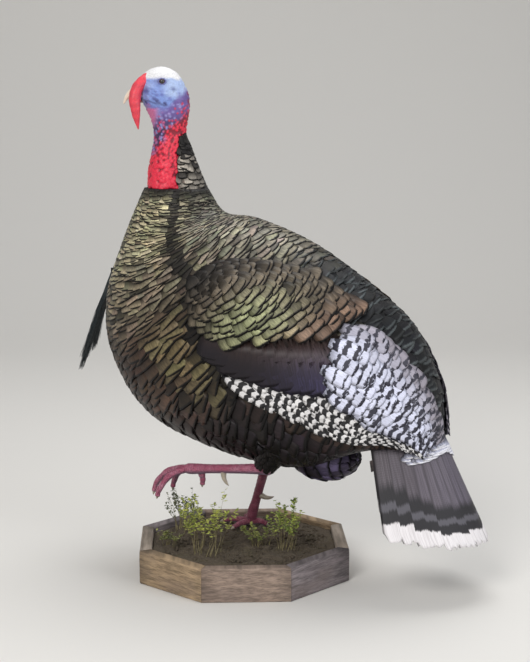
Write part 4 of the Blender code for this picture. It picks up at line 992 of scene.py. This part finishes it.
left_thigh = thigh_surface((-0.120, 0.066, 0.330), (-0.075, 0.066, 0.224))
right_thigh = thigh_surface((-0.075, -0.066, 0.330), (-0.022, -0.070, 0.200))
LOBES = (
    ("left_thigh", left_thigh, 0.05, 0.98, 11, 16, 0.034, 0.017),
    ("right_thigh", right_thigh, 0.05, 0.98, 12, 16, 0.034, 0.017),
    ("vent", vent_surface, 0.04, 0.96, 8, 11, 0.050, 0.038),
)
lobe_coat = feather_finish("down_vane", 0.45, 0.25, 0.86, 0.96)
for name, surface, first, last, rows, around, length, width in LOBES:
    points = on_base(core_points(surface, first, last))
    core = make_piece(f"{name}_core", points, None, skin_coat, "stand", "belly", welded=True)
    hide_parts(f"{name}_plumage")
    row, column = np.meshgrid(np.arange(rows), np.arange(around), indexing="ij")
    count = row.size
    share = (first + 0.06 + (last - first - 0.12) * row / rows).ravel() + chance.normal(0, 0.008, count)
    turn = ((column + 0.5 * (row % 2)) * 2 * math.pi / around).ravel() + chance.normal(0, 0.05, count)
    violet = name == "vent"
    shrink = np.sin(math.pi * share) ** 0.5 if violet else 1.0 - 0.35 * share
    tilt = chance.normal(0, 0.14, count)
    laid = lay_feathers(surface, share, turn, length * shrink, width * shrink, 0.0, 0.06 * length, tilt)
    seeds = chance.uniform(0, 1, count)
    sheen = chance.uniform(0, 0.75, count) ** 1.5 * violet
    colour = layered((44, 36, 44) if violet else (34, 30, 30), ((140, 128, 172), sheen))
    colours = ((colour, seeds), (shade((14, 12, 14)), seeds))
    plume_piece(f"{name}_feathers", laid, lobe_coat, "belly", colours)

# Tail: broad stiff feathers in a drooping arch, glued to a wooden saddle that tilts on a bolt. They are
# brown-grey with fine wavy lines, a black band, a grey one, another black one and split white tips.
TAIL_AXIS = np.array((-0.383, 0.0, 0.309))
TAIL_DROOP = math.radians(65)
TAIL_DOWN = np.array((-math.cos(TAIL_DROOP), 0.0, -math.sin(TAIL_DROOP)))
TAIL_OVER = np.cross(BIRD_LEFT, TAIL_DOWN)
TAIL_LENGTH = 0.234
TAIL_MAP_LENGTH = 0.25


def tail_surface(along, place, rise):
    """The tail's arch: down its length, across by a share of its half width, bent down at the sides."""
    share = along / TAIL_LENGTH
    half_width = 0.082 + 0.100 * share
    arch = 0.105 + 0.029 * share
    offset = along[..., None] * TAIL_DOWN + (half_width * place)[..., None] * BIRD_LEFT
    return TAIL_AXIS + offset + (0.005 + rise - arch * place**2)[..., None] * TAIL_OVER


def tail_feather(middle, half_share, length, layer):
    """One feather: rows from its root to its split tip, a domed upper side and a flat lower side.

    Its map runs up to 1 at the tip, on one scale for all, so that the bands keep their distance to it."""
    v = np.concatenate([np.linspace(0, 0.84, 22), np.linspace(0.88, 1.0, 5)])[:, None]
    u = np.linspace(-1, 1, 17)[None, :]
    outline = np.interp(v, (0.90, 1.0), (1.0, 0.86))
    split = chance.uniform(-1, 0.6, u.shape) ** 3 * soft_step(v, 0.86, 1.0) * 0.0100
    round_tip = -0.010 * u**2 * soft_step(v, 0.6, 1.0)
    place = middle + half_share * outline * u
    fade = np.clip(1 - v * length / 0.120, 0, 1)
    root = 0.016 - 0.036 * soft_step(place, 0.45, 0.8)
    along = root + (length - root) * v + split + round_tip - 0.010 * fade * place**2
    dome = layer + 0.0016 * (1 - u**2)
    flat = layer - 0.0004 * (1 - u**2) * np.minimum(1, 12 * v * (1.02 - v))
    vane = np.stack(np.broadcast_arrays(u / 2 + 0.5, 1 - (1 - v) * length / TAIL_MAP_LENGTH), -1)
    return tail_surface(along, place, dome), tail_surface(along, place, flat), vane


def two_sided(outer, inner):
    """Two grids as one closed sheet: the second runs back behind the first, and both ends are capped."""
    rows, columns = outer.shape[:2]
    start = np.array((0, rows - 1))[:, None] * 2 * columns
    first = start + np.arange(columns - 1)
    mirror = start + 2 * columns - 1 - np.arange(columns - 1)
    caps = np.stack([first, first + 1, mirror - 1, mirror], -1).reshape(-1, 4)
    return np.concatenate([outer, inner[:, ::-1]], 1), np.concatenate([lattice(rows, 2 * columns), caps])


def tail_finish():
    """Bands by the distance to the tip, wavy lines above them, dark side edges painted as shade where the
    feathers overlap, and a dark shaft.
    """
    coat = Finish("tail_vane", Roughness=0.6)
    across, side, along = vane_map(coat)
    colour, seed = own_colour(coat, "tint")
    barbs = streaks(coat, across * 30.0, along * 3.0, seed * 40.0, 3.0, 0.65)
    at = along + (barbs - 0.5) * 0.055 + side * 0.015
    waves = ((along * 70.0 + barbs * 2.2 + side * 2.0) * (2 * math.pi)).math("SINE").step(-0.2, 0.9)
    tip = coat.mix(barbs.step(0.4, 0.7) * 0.35, (238, 234, 236), (160, 152, 154))
    layers = (
        (waves * 0.30, (50, 43, 44)),
        (barbs.step(0.35, 0.65) * 0.55, (52, 46, 52)),
        # Painted shade towards each side edge, where the next feather lies over it.
        (side.step(0.62, 1.0) * 0.7, (32, 28, 31)),
        (at.step(0.61, 0.69), (27, 25, 30)),
        (at.step(0.740, 0.765) * 0.75, (98, 96, 104)),
        (at.step(0.790, 0.815), (27, 25, 30)),
        (at.step(0.875, 0.892), tip),
        # Painted shade again along the very edge.
        (side.step(0.86, 1.0) * 0.6, (34, 30, 33)),
    )
    for share, over in layers:
        colour = coat.mix(share, colour, over)
    shaft = coat.mix(0.6, colour, (44, 37, 36))
    return coat.paint(coat.mix(side.step(0.02, 0.06), shaft, colour)).bump(barbs, 0.0007, 0.6)


tail_coat = tail_finish()
for number in range(9):
    all_points, all_faces, all_vanes, start = [], [], [], 0
    for offset in (0.0, 0.5) if number < 8 else (0.0, 0.35):
        middle = 0.83 * (number + offset - 4) / 4
        last = number + offset > 8
        length = TAIL_LENGTH - 0.106 * middle**2 - (0.030 if last else 0.008 * offset)
        layer = 0.0055 + 0.0022 * (4 - abs(number + offset - 4))
        top, under, vane = tail_feather(middle, 0.095 if last else 0.165, length, layer)
        block, faces = two_sided(top, under)
        all_points.append(block.reshape(-1, 3))
        all_faces.append(faces + start)
        all_vanes.append(np.concatenate([vane, vane[:, ::-1]], 1).reshape(-1, 2))
        start += len(all_points[-1])
    points, faces, vane = (np.concatenate(part) for part in (all_points, all_faces, all_vanes))
    # Each feather's tone steps from dark brown on the near side to pale lilac-grey on the far side: partly
    # its own colour, partly painted highlight along the arch's ridge.
    brown = shade((140 - 5 * number, 133 - 5 * number, 156 - 7 * number)) * chance.normal(1.0, 0.12)
    tint = np.tile((*brown, 0.11 * number), (start, 1))
    name = f"tail_plume_{number + 1}"
    plume = make_piece(name, on_base(points), faces, tail_coat, "tail", "tail", vane, tint, welded=True)
    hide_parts(f"tail_feather_{number + 1}")

# Tail coverts: soft white-tipped feathers that hide the roots of the tail, glued to the tail's upper side.
# They lie in three short rows and tilt with the tail.
row, column = np.meshgrid(np.arange(3), np.linspace(-0.66, 0.62, 15), indexing="ij")
count = row.size
along = (0.016 + 0.005 * row).ravel() + chance.normal(0, 0.002, count)
place = (column + 0.04 * (row % 2)).ravel()
length = (0.037 - 0.016 * soft_step(place, -0.40, 0.10)) * chance.normal(1.0, 0.08, count)
base = 0.0178 - 0.014 * place**2
laid = lay_feathers(tail_surface, along, place, length, 0.036, base, 0.001, chance.normal(0, 0.04, count))
seeds = chance.uniform(0, 1, count)
colour = shade((206, 208, 230)) * chance.normal(1.0, 0.08, (count, 1))
covert_tip_coat = feather_finish("tail_covert_vane", 0.55, 0.0, 0.8, 0.9)
colours = ((colour, seeds), (shade((236, 236, 244)), seeds))
plume_piece("tail_coverts", laid, covert_tip_coat, "tail", colours, "tail")

# Head and bare neck: cast in flexible resin and painted. The crown is white, the cheeks blue, the neck is
# covered in nodules that turn from violet to red, the largest red ones hanging at its foot. It turns on the
# neck rod.
NECK_AXIS = np.array((-0.140478, 0.095506, 0.751))
HEAD_HEIGHTS = (0.0000, 0.0390, 0.0950, 0.1260, 0.1540, 0.1830, 0.2120, 0.2235, 0.2310, 0.2351)
HEAD_SECTIONS = (
    (0.042, -0.026, 0.044),
    (0.040, -0.026, 0.040),
    (0.030, -0.030, 0.029),
    (0.033, -0.034, 0.029),
    (0.046, -0.040, 0.033),
    (0.058, -0.038, 0.035),
    (0.058, -0.025, 0.030),
    (0.048, -0.016, 0.024),
    (0.036, -0.004, 0.016),
    (0.022, 0.008, 0.006),
)
HEAD_TOP = 0.2349
RED_EDGE = ((0.050, 0.070), (0.058, 0.055), (0.068, 0.036), (0.091, 0.019), (0.117, 0.004), (0.160, -0.040))
NODULES = 1200


def on_neck(points):
    """Points of the head, given forward, left and up from the neck joint, as it faces on the base."""
    return NECK_AXIS + np.asarray(points, float) * (-1.0, -1.0, 1.0)


def head_surface(height, turn, out):
    """Level ellipses up the neck and head, given height, turn from the front, and distance out."""
    at = np.interp(height, HEAD_HEIGHTS, np.arange(10))
    front, back, width = np.moveaxis(along_rows(HEAD_SECTIONS, at), -1, 0)
    x = (front + back) / 2 + ((front - back) / 2 + out) * np.cos(turn)
    return np.stack([x, (width + out) * np.sin(turn), height + 0 * x], -1)


def strewn(height, turn, level, place, round_size, size):
    """Squared distance from each point to each spot strewn over the head, in sizes of the spot."""
    gap = (turn[..., None] - place + math.pi) % (2 * math.pi) - math.pi
    return ((height[..., None] - level) ** 2 + (round_size * gap) ** 2) / size**2


def nodules(height, turn):
    """Nodules, largest at the neck's foot: height, 0 in creases to 1 on tops, and own number."""
    level = (chance.beta(1.0, 1.25, NODULES) * 0.168).astype(np.float32)
    place = chance.uniform(-math.pi, math.pi, NODULES).astype(np.float32)
    size = np.interp(level, (0, 0.03, 0.06, 0.168), (0.0064, 0.0050, 0.0038, 0.0027))
    size = size * chance.uniform(0.75, 1.2, NODULES)
    short = size.astype(np.float32)
    near = strewn(height.astype(np.float32), turn.astype(np.float32), level, place, 0.036, short)
    dome = np.sqrt(np.clip(1 - near, 0, 1))
    tallest = (dome * short).argmax(axis=-1)
    return (dome * size * 0.62).max(axis=-1), dome.max(axis=-1), chance.uniform(0, 1, NODULES)[tallest]


def blotches(height, turn, count, size):
    """Round soft spots strewn over the head, 0 between them and 1 at their middles."""
    level = chance.uniform(0.0, 0.235, count)
    place = chance.uniform(-math.pi, math.pi, count)
    wide = size * chance.uniform(0.5, 1.3, count)
    return np.exp(-strewn(height, turn, level, place, 0.034, wide)).max(axis=-1)


def head_colours(height, turn, ahead, dome, own):
    """Paint by place: blue cheeks, white crown, violet throat, red nodules, with painted shade in the
    creases between nodules.
    """
    around = np.degrees(np.abs(turn))
    blot = blotches(height, turn, 260, 0.0062)
    speck = blotches(height, turn, 420, 0.0028)
    ripple = 0.010 * (blot - 0.5)
    gape = 0.1700 - 0.20 * (0.0436 - ahead)
    cheek = soft_step(ahead, -0.008, 0.010) * soft_step(100 - around, 0, 12)
    mouth = soft_spot((height - gape) / 0.0080) * cheek * soft_step(speck, 0.2, 0.6)
    line = soft_spot((height - gape - 0.3 * ripple) / 0.0022) * cheek * 0.6
    lore = soft_spot((height - 0.190) / 0.0065, (ahead - 0.044) / 0.0065)
    pale = soft_step(0.164 + ripple - height, 0, 0.01) * soft_step(ahead, 0.006, 0.024)
    pink = soft_step(0.162 + ripple - height, 0, 0.008) * soft_step(height, 0.112, 0.132)
    pink = pink * soft_step(ahead, 0.018, 0.032)
    pebble = soft_step(0.168 + 0.5 * ripple - 0.9 * ahead - height, 0, 0.016) * (1 - 0.8 * pink)
    # Painted shade: the colour between the violet nodules, paler higher up.
    crease = layered((56, 36, 78), ((112, 92, 160), soft_step(height, 0.115, 0.150)))
    bead = layered(
        (150, 146, 206),
        ((184, 96, 150), soft_step(own, 0.25, 0.6)),
        ((216, 44, 72), soft_step(own + (0.02 - ahead) * 9.0, 0.75, 0.95)),
    )
    red = soft_step(on_line(RED_EDGE, height) + 1.6 * ripple - ahead, -0.008, 0.010)
    cap = 0.2135 - 0.003 * soft_step(around, 110, 150) + 0.5 * ripple
    ear = soft_spot((height - 0.1925) / 0.0042, 0.034 * (np.abs(turn) - 2.05) / 0.0042)
    eye_ring = soft_spot((height - 0.207) / 0.0075, 0.034 * (np.abs(turn) - 1.53) / 0.0100)
    colour = layered(
        (130, 156, 222),
        ((188, 206, 244), 0.55 * blot * soft_step(height, 0.165, 0.185)),
        ((188, 208, 242), 0.7 * soft_step(around, 80, 110) * soft_step(height, 0.168, 0.186)),
        ((98, 104, 180), 0.7 * speck * soft_step(0.198 - height, 0, 0.014)),
        ((108, 108, 182), soft_step(0.168 + ripple - height, 0, 0.012)),
        ((44, 36, 80), np.maximum(0.85 * mouth, line)),
        ((64, 60, 124), 0.65 * lore),
        ((160, 150, 204), 0.7 * pale),
        ((216, 108, 150), 0.8 * pink),
        (layered(crease, (bead, dome**1.4)), pebble),
        # Painted shade: red nodules turn dark red towards the creases between them.
        (layered((138, 12, 34), ((246, 44, 70), dome)), red),
        ((240, 240, 241), soft_step(height, cap - 0.003, cap + 0.005)),
        ((70, 76, 136), 0.7 * ear),
        ((92, 96, 150), 0.7 * eye_ring),
    )
    return colour * chance.normal(1.0, 0.04, (*height.shape, 1)).clip(0.85, 1.15)


def flesh(name, roughness, grain, depth):
    """Painted flexible resin: its own colours, broken by fine pores."""
    coat = Finish(name, Roughness=roughness)
    pores = coat.noise(coat.place(), grain, 4.0, 0.6)
    share = pores.step(0.35, 0.6) * 0.25 + 0.75
    coat.paint(coat.mix(share, (60, 46, 84), own_colour(coat, "tint")[0]))
    return coat.bump(pores, depth, 0.8)


height = np.concatenate([(0.0008,), np.linspace(0.0008, HEAD_TOP, 190), (HEAD_TOP + 0.0004,)])[:, None]
turn = np.linspace(-math.pi, math.pi, 132, endpoint=False)
height, turn = np.broadcast_arrays(height, turn)
bumps, dome, own = nodules(height, turn)
bumps[0] = bumps[1]
fade = soft_step(0.165 - height, 0, 0.04)
pucker = 0.0016 * (blotches(height, turn, 700, 0.0030) - 0.4)
pucker = pucker * soft_step(height, 0.135, 0.165) * soft_step(0.222 - height, 0, 0.02)
points = head_surface(np.minimum(height, HEAD_TOP), turn, bumps * fade + pucker - 0.0004)
points[..., 2] = height
paint = head_colours(height, turn, points[..., 0], dome, own)
paint = np.concatenate([paint, np.ones((*height.shape, 1))], -1)
points = on_neck(pinched(points))
head_coat = flesh("head_flesh", 0.42, 500.0, 0.0006)
head = make_piece("head_flesh", points, None, head_coat, "head", "head", tint=paint, welded=True)
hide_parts("head_cast")


# Snood: a soft red finger of flesh cast with a wire in it. It hangs from the brow past the beak, on the
# near side.
def wrinkles(share, turn):
    """Faint rings of skin round the snood, with a shallow lengthwise fold."""
    return 1.0 + 0.02 * np.sin(64 * share + 1.5 * np.sin(turn)) + 0.05 * np.sin(3 * turn + 9 * share)


SNOOD_ROUTE = (
    (0.034, 0.004, 0.219), (0.0457, 0.011, 0.211), (0.0610, 0.019, 0.194), (0.0668, 0.024, 0.173),
    (0.0650, 0.026, 0.155), (0.0630, 0.026, 0.138), (0.0600, 0.026, 0.115),
)
SNOOD_RADII = (0.0080, 0.0100, 0.0114, 0.0116, 0.0096, 0.0070, 0.0010)
points = round_bar(SNOOD_ROUTE, SNOOD_RADII, 90, 24, (0.0, 1.0, 0.05), wrinkles)
paint = np.ones((*points.shape[:2], 4))
streak = 0.92 + 0.08 * np.sin(400 * points[..., 2] + 260 * points[..., 1])
paint[..., :3] = shade((240, 68, 82)) * streak[..., None]
snood_coat = flesh("snood_flesh", 0.4, 420.0, 0.0006)
points = on_neck(points)
snood = make_piece("snood_flesh", points, None, snood_coat, "head", "snood", tint=paint, welded=True)
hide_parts("snood")


# Beak: horn-coloured resin in two halves set into the face, dusky at the root and ivory at the tip.
# The snood hides most of it from the near side.
def beak_horn():
    """Streaked dusky horn that turns ivory with the distance forward."""
    coat = Finish("beak_horn", Roughness=0.3)
    ahead = coat.node("ShaderNodeSeparateXYZ", None, {0: coat.place()}) * -1.0
    streak = coat.noise(coat.place((30.0, 300.0, 300.0)), 2.0, 3.0)
    dusky = coat.mix(streak, (120, 92, 96), (150, 122, 118))
    return coat.paint(coat.mix(ahead.step(0.196, 0.222), dusky, (238, 224, 204)))


def beak_section(share, turn):
    """Taller than wide, with a ridge along the top."""
    return 1.0 + 0.10 * np.cos(2 * turn) + 0.04 * np.cos(turn)


FACE = np.array((0.058, 0.0, 0.183))
BEAK_RADII = np.array((0.0088, 0.0082, 0.0064, 0.0042, 0.0013))
UPPER_BEAK = ((-0.020, 0.013), (-0.002, 0.011), (0.013, 0.004), (0.024, -0.006), (0.031, -0.019))
LOWER_BEAK = ((-0.020, -0.012), (-0.006, -0.012), (0.006, -0.013), (0.014, -0.016), (0.020, -0.021))
beak_coat = beak_horn()
for name, steps, size in (("upper_beak", UPPER_BEAK, 1.0), ("lower_beak", LOWER_BEAK, 0.62)):
    route = [FACE + (ahead, 0, rise) for ahead, rise in steps]
    points = on_neck(round_bar(route, size * BEAK_RADII, 40, 20, BIRD_LEFT, beak_section))
    beak = make_piece(f"{name}_horn", points, None, beak_coat, "head", "beak", welded=True)
    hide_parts(name)


# Eyes: dark brown glass with a black pupil, set in sockets behind a puckered pale lid. The lids are of the
# head's painted resin.
def glass_eye():
    """A pupil, a brown iris and a dark rim, by the distance out from the eye's middle."""
    coat = Finish("glass_eye", Roughness=0.05, Coat_Weight=0.6)
    out = vane_map(coat)[2]
    iris = coat.mix(out.step(0.19, 0.23), (8, 7, 8), (74, 46, 28))
    return coat.paint(coat.mix(out.step(0.34, 0.40), iris, (30, 24, 30)))


EYE_RADIUS = 0.0058
LID_THICKNESS = 0.0013
eye_coat = glass_eye()
share, turn = np.broadcast_arrays(np.linspace(0, 1, 22)[:, None], turns_round(28))
swing = math.pi * share
ball = EYE_RADIUS * np.stack([np.sin(swing) * np.cos(turn), np.cos(swing), np.sin(swing) * np.sin(turn)], -1)
vane = np.stack([turn / (2 * math.pi), share], -1)
lid_turn, lid_round = np.broadcast_arrays(turns_round(40)[:, None], turns_round(12))
lid_reach = EYE_RADIUS + 0.0004 * np.cos(9 * lid_turn) + LID_THICKNESS * np.cos(lid_round)
lid_out = LID_THICKNESS * np.sin(lid_round) + 0.0024
lid = np.stack([1.25 * lid_reach * np.cos(lid_turn), lid_out, 0.95 * lid_reach * np.sin(lid_turn)], -1)
lid_faces = lattice(41, 12) % lid_turn.size
lid_paint = np.tile((*shade((112, 116, 172)), 1.0), (lid_turn.size, 1))
for name, sign in (("left", 1), ("right", -1)):
    centre = np.array((0.013, sign * 0.0290, 0.207))
    points = on_neck(centre + ball * (1, sign, 1))
    eye = make_piece(f"{name}_glass_eye", points, None, eye_coat, "head", "eye", vane, welded=True)
    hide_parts(f"{name}_eye")
    points = on_neck(centre + lid * (1, sign, 1))
    make_piece(f"{name}_eyelid", points, lid_faces, head_coat, "head", "head", tint=lid_paint, welded=True)

# Nape feathers: small dull gold and black scale feathers up the back of the neck, glued to the cast head so
# that they turn with it.
NAPE_TOP = 0.100
NAPE_EDGE = math.cos(math.radians(132))


def nape_surface(down, turn, out):
    """The back of the neck: level ellipses pushed out behind, more so lower down."""
    height = NAPE_TOP - down
    swell = np.clip(1 - height / NAPE_TOP, 0, None) ** 0.9
    behind = np.clip((np.cos(turn) - NAPE_EDGE) / (-1 - NAPE_EDGE), 0, 1)
    return head_surface(height, turn, 0.0022 + 0.044 * swell * behind + out) + (0.0, 0.0, 0.0005)


def nape_core():
    """The dark pad under the nape feathers: its outer side, then the neck's own surface behind it."""
    turn = np.radians(np.linspace(132, 228, 21))
    down, turn = np.broadcast_arrays(np.linspace(0.0, 0.0965, 14)[:, None], turn)
    outer = nape_surface(down, turn, -0.0012)
    inner = head_surface(NAPE_TOP - down, turn, 0.0)
    inner[..., 2] = outer[..., 2]
    return two_sided(outer, inner)


points, faces = nape_core()
core = make_piece("nape_core", on_neck(points), faces, skin_coat, "head", "neck", welded=True)
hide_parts("nape_feathers")
row, column = np.meshgrid(np.arange(11), np.arange(9), indexing="ij")
count = row.size
down = (-0.004 + 0.0092 * row).ravel() + chance.normal(0, 0.0020, count)
turn = np.radians(133 + 94 * (column + 0.5 * (row % 2)) / 8.5).ravel() + chance.normal(0, 0.05, count)
length = np.minimum(0.022, 0.104 - down)
width = 0.0135 + 0.09 * np.clip(down, 0, 0.1)
laid = lay_feathers(nape_surface, down, turn, length, width, 0.0003, 0.0014, chance.normal(0, 0.20, count))
seeds = chance.uniform(0, 1, count)
colour = layered(
    shade((180, 172, 160)) * chance.normal(1.0, 0.32, (count, 1)).clip(0.25, 1.5),
    ((20, 18, 17), 0.92 * soft_step(0.030 - down, 0, 0.016)),
    ((20, 18, 17), 0.9 * (chance.uniform(0, 1, count) < 0.15)),
    ((60, 58, 58), soft_step(np.abs(turn - math.pi), 0.6, 0.1) * 0.6),
)
colours = ((colour, seeds), (shade((18, 16, 16)), seeds))
plume_piece("nape_scale_feathers", laid, contour_coat, "neck", colours, "head", on_neck)

# Beard: several hundred coarse black bristles bound into a root plate and hung from a pin in the breast,
# parting into a few tufts at the tips.
BEARD_HINGE = np.array((-0.248855, 0.146043, 0.582674))
BEARD_LEAN = math.radians(26)
BEARD_LENGTH = 0.228
BRISTLES = 460


def bristle_routes(share):
    """Bristles from a small root patch down to uneven tips.

    At share s a bristle is its root + its length times s down + its tuft's drift sideways, growing with s.
    It bows at the tip, and the whole is leaned forward off the breast."""
    across = chance.uniform(-0.5, 0.5, BRISTLES)
    deep = chance.uniform(-0.5, 0.5, BRISTLES)[:, None]
    tuft = np.digitize(across + 0.15 * chance.normal(0, 1, BRISTLES), (-0.17, 0.19))
    across = across[:, None]
    length = BEARD_LENGTH * np.array((0.80, 0.98, 0.84))[tuft] * chance.uniform(0.80, 1.0, BRISTLES)
    drift = np.array((-0.013, 0.001, 0.012))[tuft] + chance.normal(0, 0.002, BRISTLES)
    left = 0.030 * across * (1 - 0.45 * np.sin(math.pi * share * 0.62)) + drift[:, None] * share**2.2
    left = left + 0.0012 * np.sin(14 * share + 40 * across)
    ahead = 0.010 * deep * (1 - 0.3 * share) - 0.026 * np.clip(share - 0.4, 0, 1) ** 1.5
    down = 0.0062 + length[:, None] * share
    x = ahead * math.cos(BEARD_LEAN) + down * math.sin(BEARD_LEAN)
    z = ahead * math.sin(BEARD_LEAN) - down * math.cos(BEARD_LEAN)
    return np.stack([x, left, z], -1)


share = np.linspace(0, 1, 9)
strands, faces = thin_rods(bristle_routes(share), 0.00075 * (1.05 - 0.75 * share))
points = BEARD_HINGE + bird_turned(strands)
bristle_coat = cloudy("beard_bristle", 0.38, (26, 31, 34), (70, 80, 84), 1.0, 2.0, (500.0, 500.0, 20.0))
beard = make_piece("beard_bristles", points, faces, bristle_coat, "beard", "beard")
work = bmesh.new()
work.from_mesh(beard.data)
bmesh.ops.holes_fill(work, edges=work.edges, sides=3)
work.to_mesh(beard.data)
work.free()
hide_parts("beard")


# Stage: a pale floor that runs up into a pale backdrop, soft lights and the camera at the photograph's
# angle.
def sweep_surface():
    """A flat floor that curves up behind into an upright wall."""
    x = np.linspace(-6, 6, 3)[None, :]
    turn = np.linspace(0, math.pi / 2, 12)
    y = np.concatenate([(-5.0,), 2.5 + 1.5 * np.sin(turn), (4.0,)])[:, None]
    z = np.concatenate([(0.0,), 1.5 * (1 - np.cos(turn)), (6.0,)])[:, None]
    return np.stack(np.broadcast_arrays(x, y, z), -1)


mesh = bpy.data.meshes.new("pale_sweep")
mesh.from_pydata(sweep_surface().reshape(-1, 3).tolist(), [], lattice(14, 3, False).tolist())
mesh.shade_smooth()
mesh.materials.append(Finish("pale_floor", Roughness=0.9).paint((226, 224, 220)).material)
floor = bpy.data.objects.new("pale_sweep", mesh)
bpy.context.scene.collection.objects.link(floor)


def soft_light(name, place, aim, power, size, colour):
    """A square lamp at a place, turned to face its aim."""
    lamp = bpy.data.lights.new(name, "AREA")
    lamp.energy = power
    lamp.size = size
    lamp.color = colour
    made = bpy.data.objects.new(name, lamp)
    made.location = place
    way = np.array(aim, float) - np.array(place, float)
    flat = math.hypot(way[0], way[1])
    made.rotation_euler = (math.atan2(flat, -way[2]), 0.0, math.atan2(way[1], way[0]) - math.pi / 2)
    bpy.context.scene.collection.objects.link(made)


soft_light("key", (-1.3, -3.0, 2.6), (0.0, 0.0, 0.5), 76.0, 1.6, (1.0, 0.98, 0.95))
soft_light("fill", (2.6, -2.2, 1.6), (0.0, 0.0, 0.4), 38.0, 2.0, (0.95, 0.97, 1.0))
soft_light("top", (0.4, 0.8, 3.2), (0.0, 0.0, 0.5), 46.0, 2.0, (1.0, 1.0, 1.0))


class Surroundings(Finish):
    """The room round the stage: even light, and paler where it is seen or mirrored."""

    def __init__(self, world):
        world.use_nodes = True
        self.tree = world.node_tree
        self.shader = self.tree.nodes["Background"]
        self.shader.inputs["Color"].default_value = (0.90, 0.91, 0.93, 1.0)
        ray = self.node("ShaderNodeLightPath", output="Is Camera Ray")
        seen = ray + ray.twin("Is Glossy Ray") + ray.twin("Is Transmission Ray")
        self.feed(self.shader, {"Strength": seen * 0.30 + 0.35})


world = bpy.data.worlds.new("studio")
Surroundings(world)
bpy.context.scene.world = world
bpy.context.scene.view_settings.view_transform = "Standard"

lens = bpy.data.cameras.new("camera")
lens.lens = 85.14
camera = bpy.data.objects.new("camera", lens)
camera.location = (-0.0740, -2.9977, 0.9801)
camera.rotation_euler = (math.radians(90 - 9.473), 0.0, math.radians(-2.230))
bpy.context.scene.collection.objects.link(camera)
bpy.context.scene.camera = camera
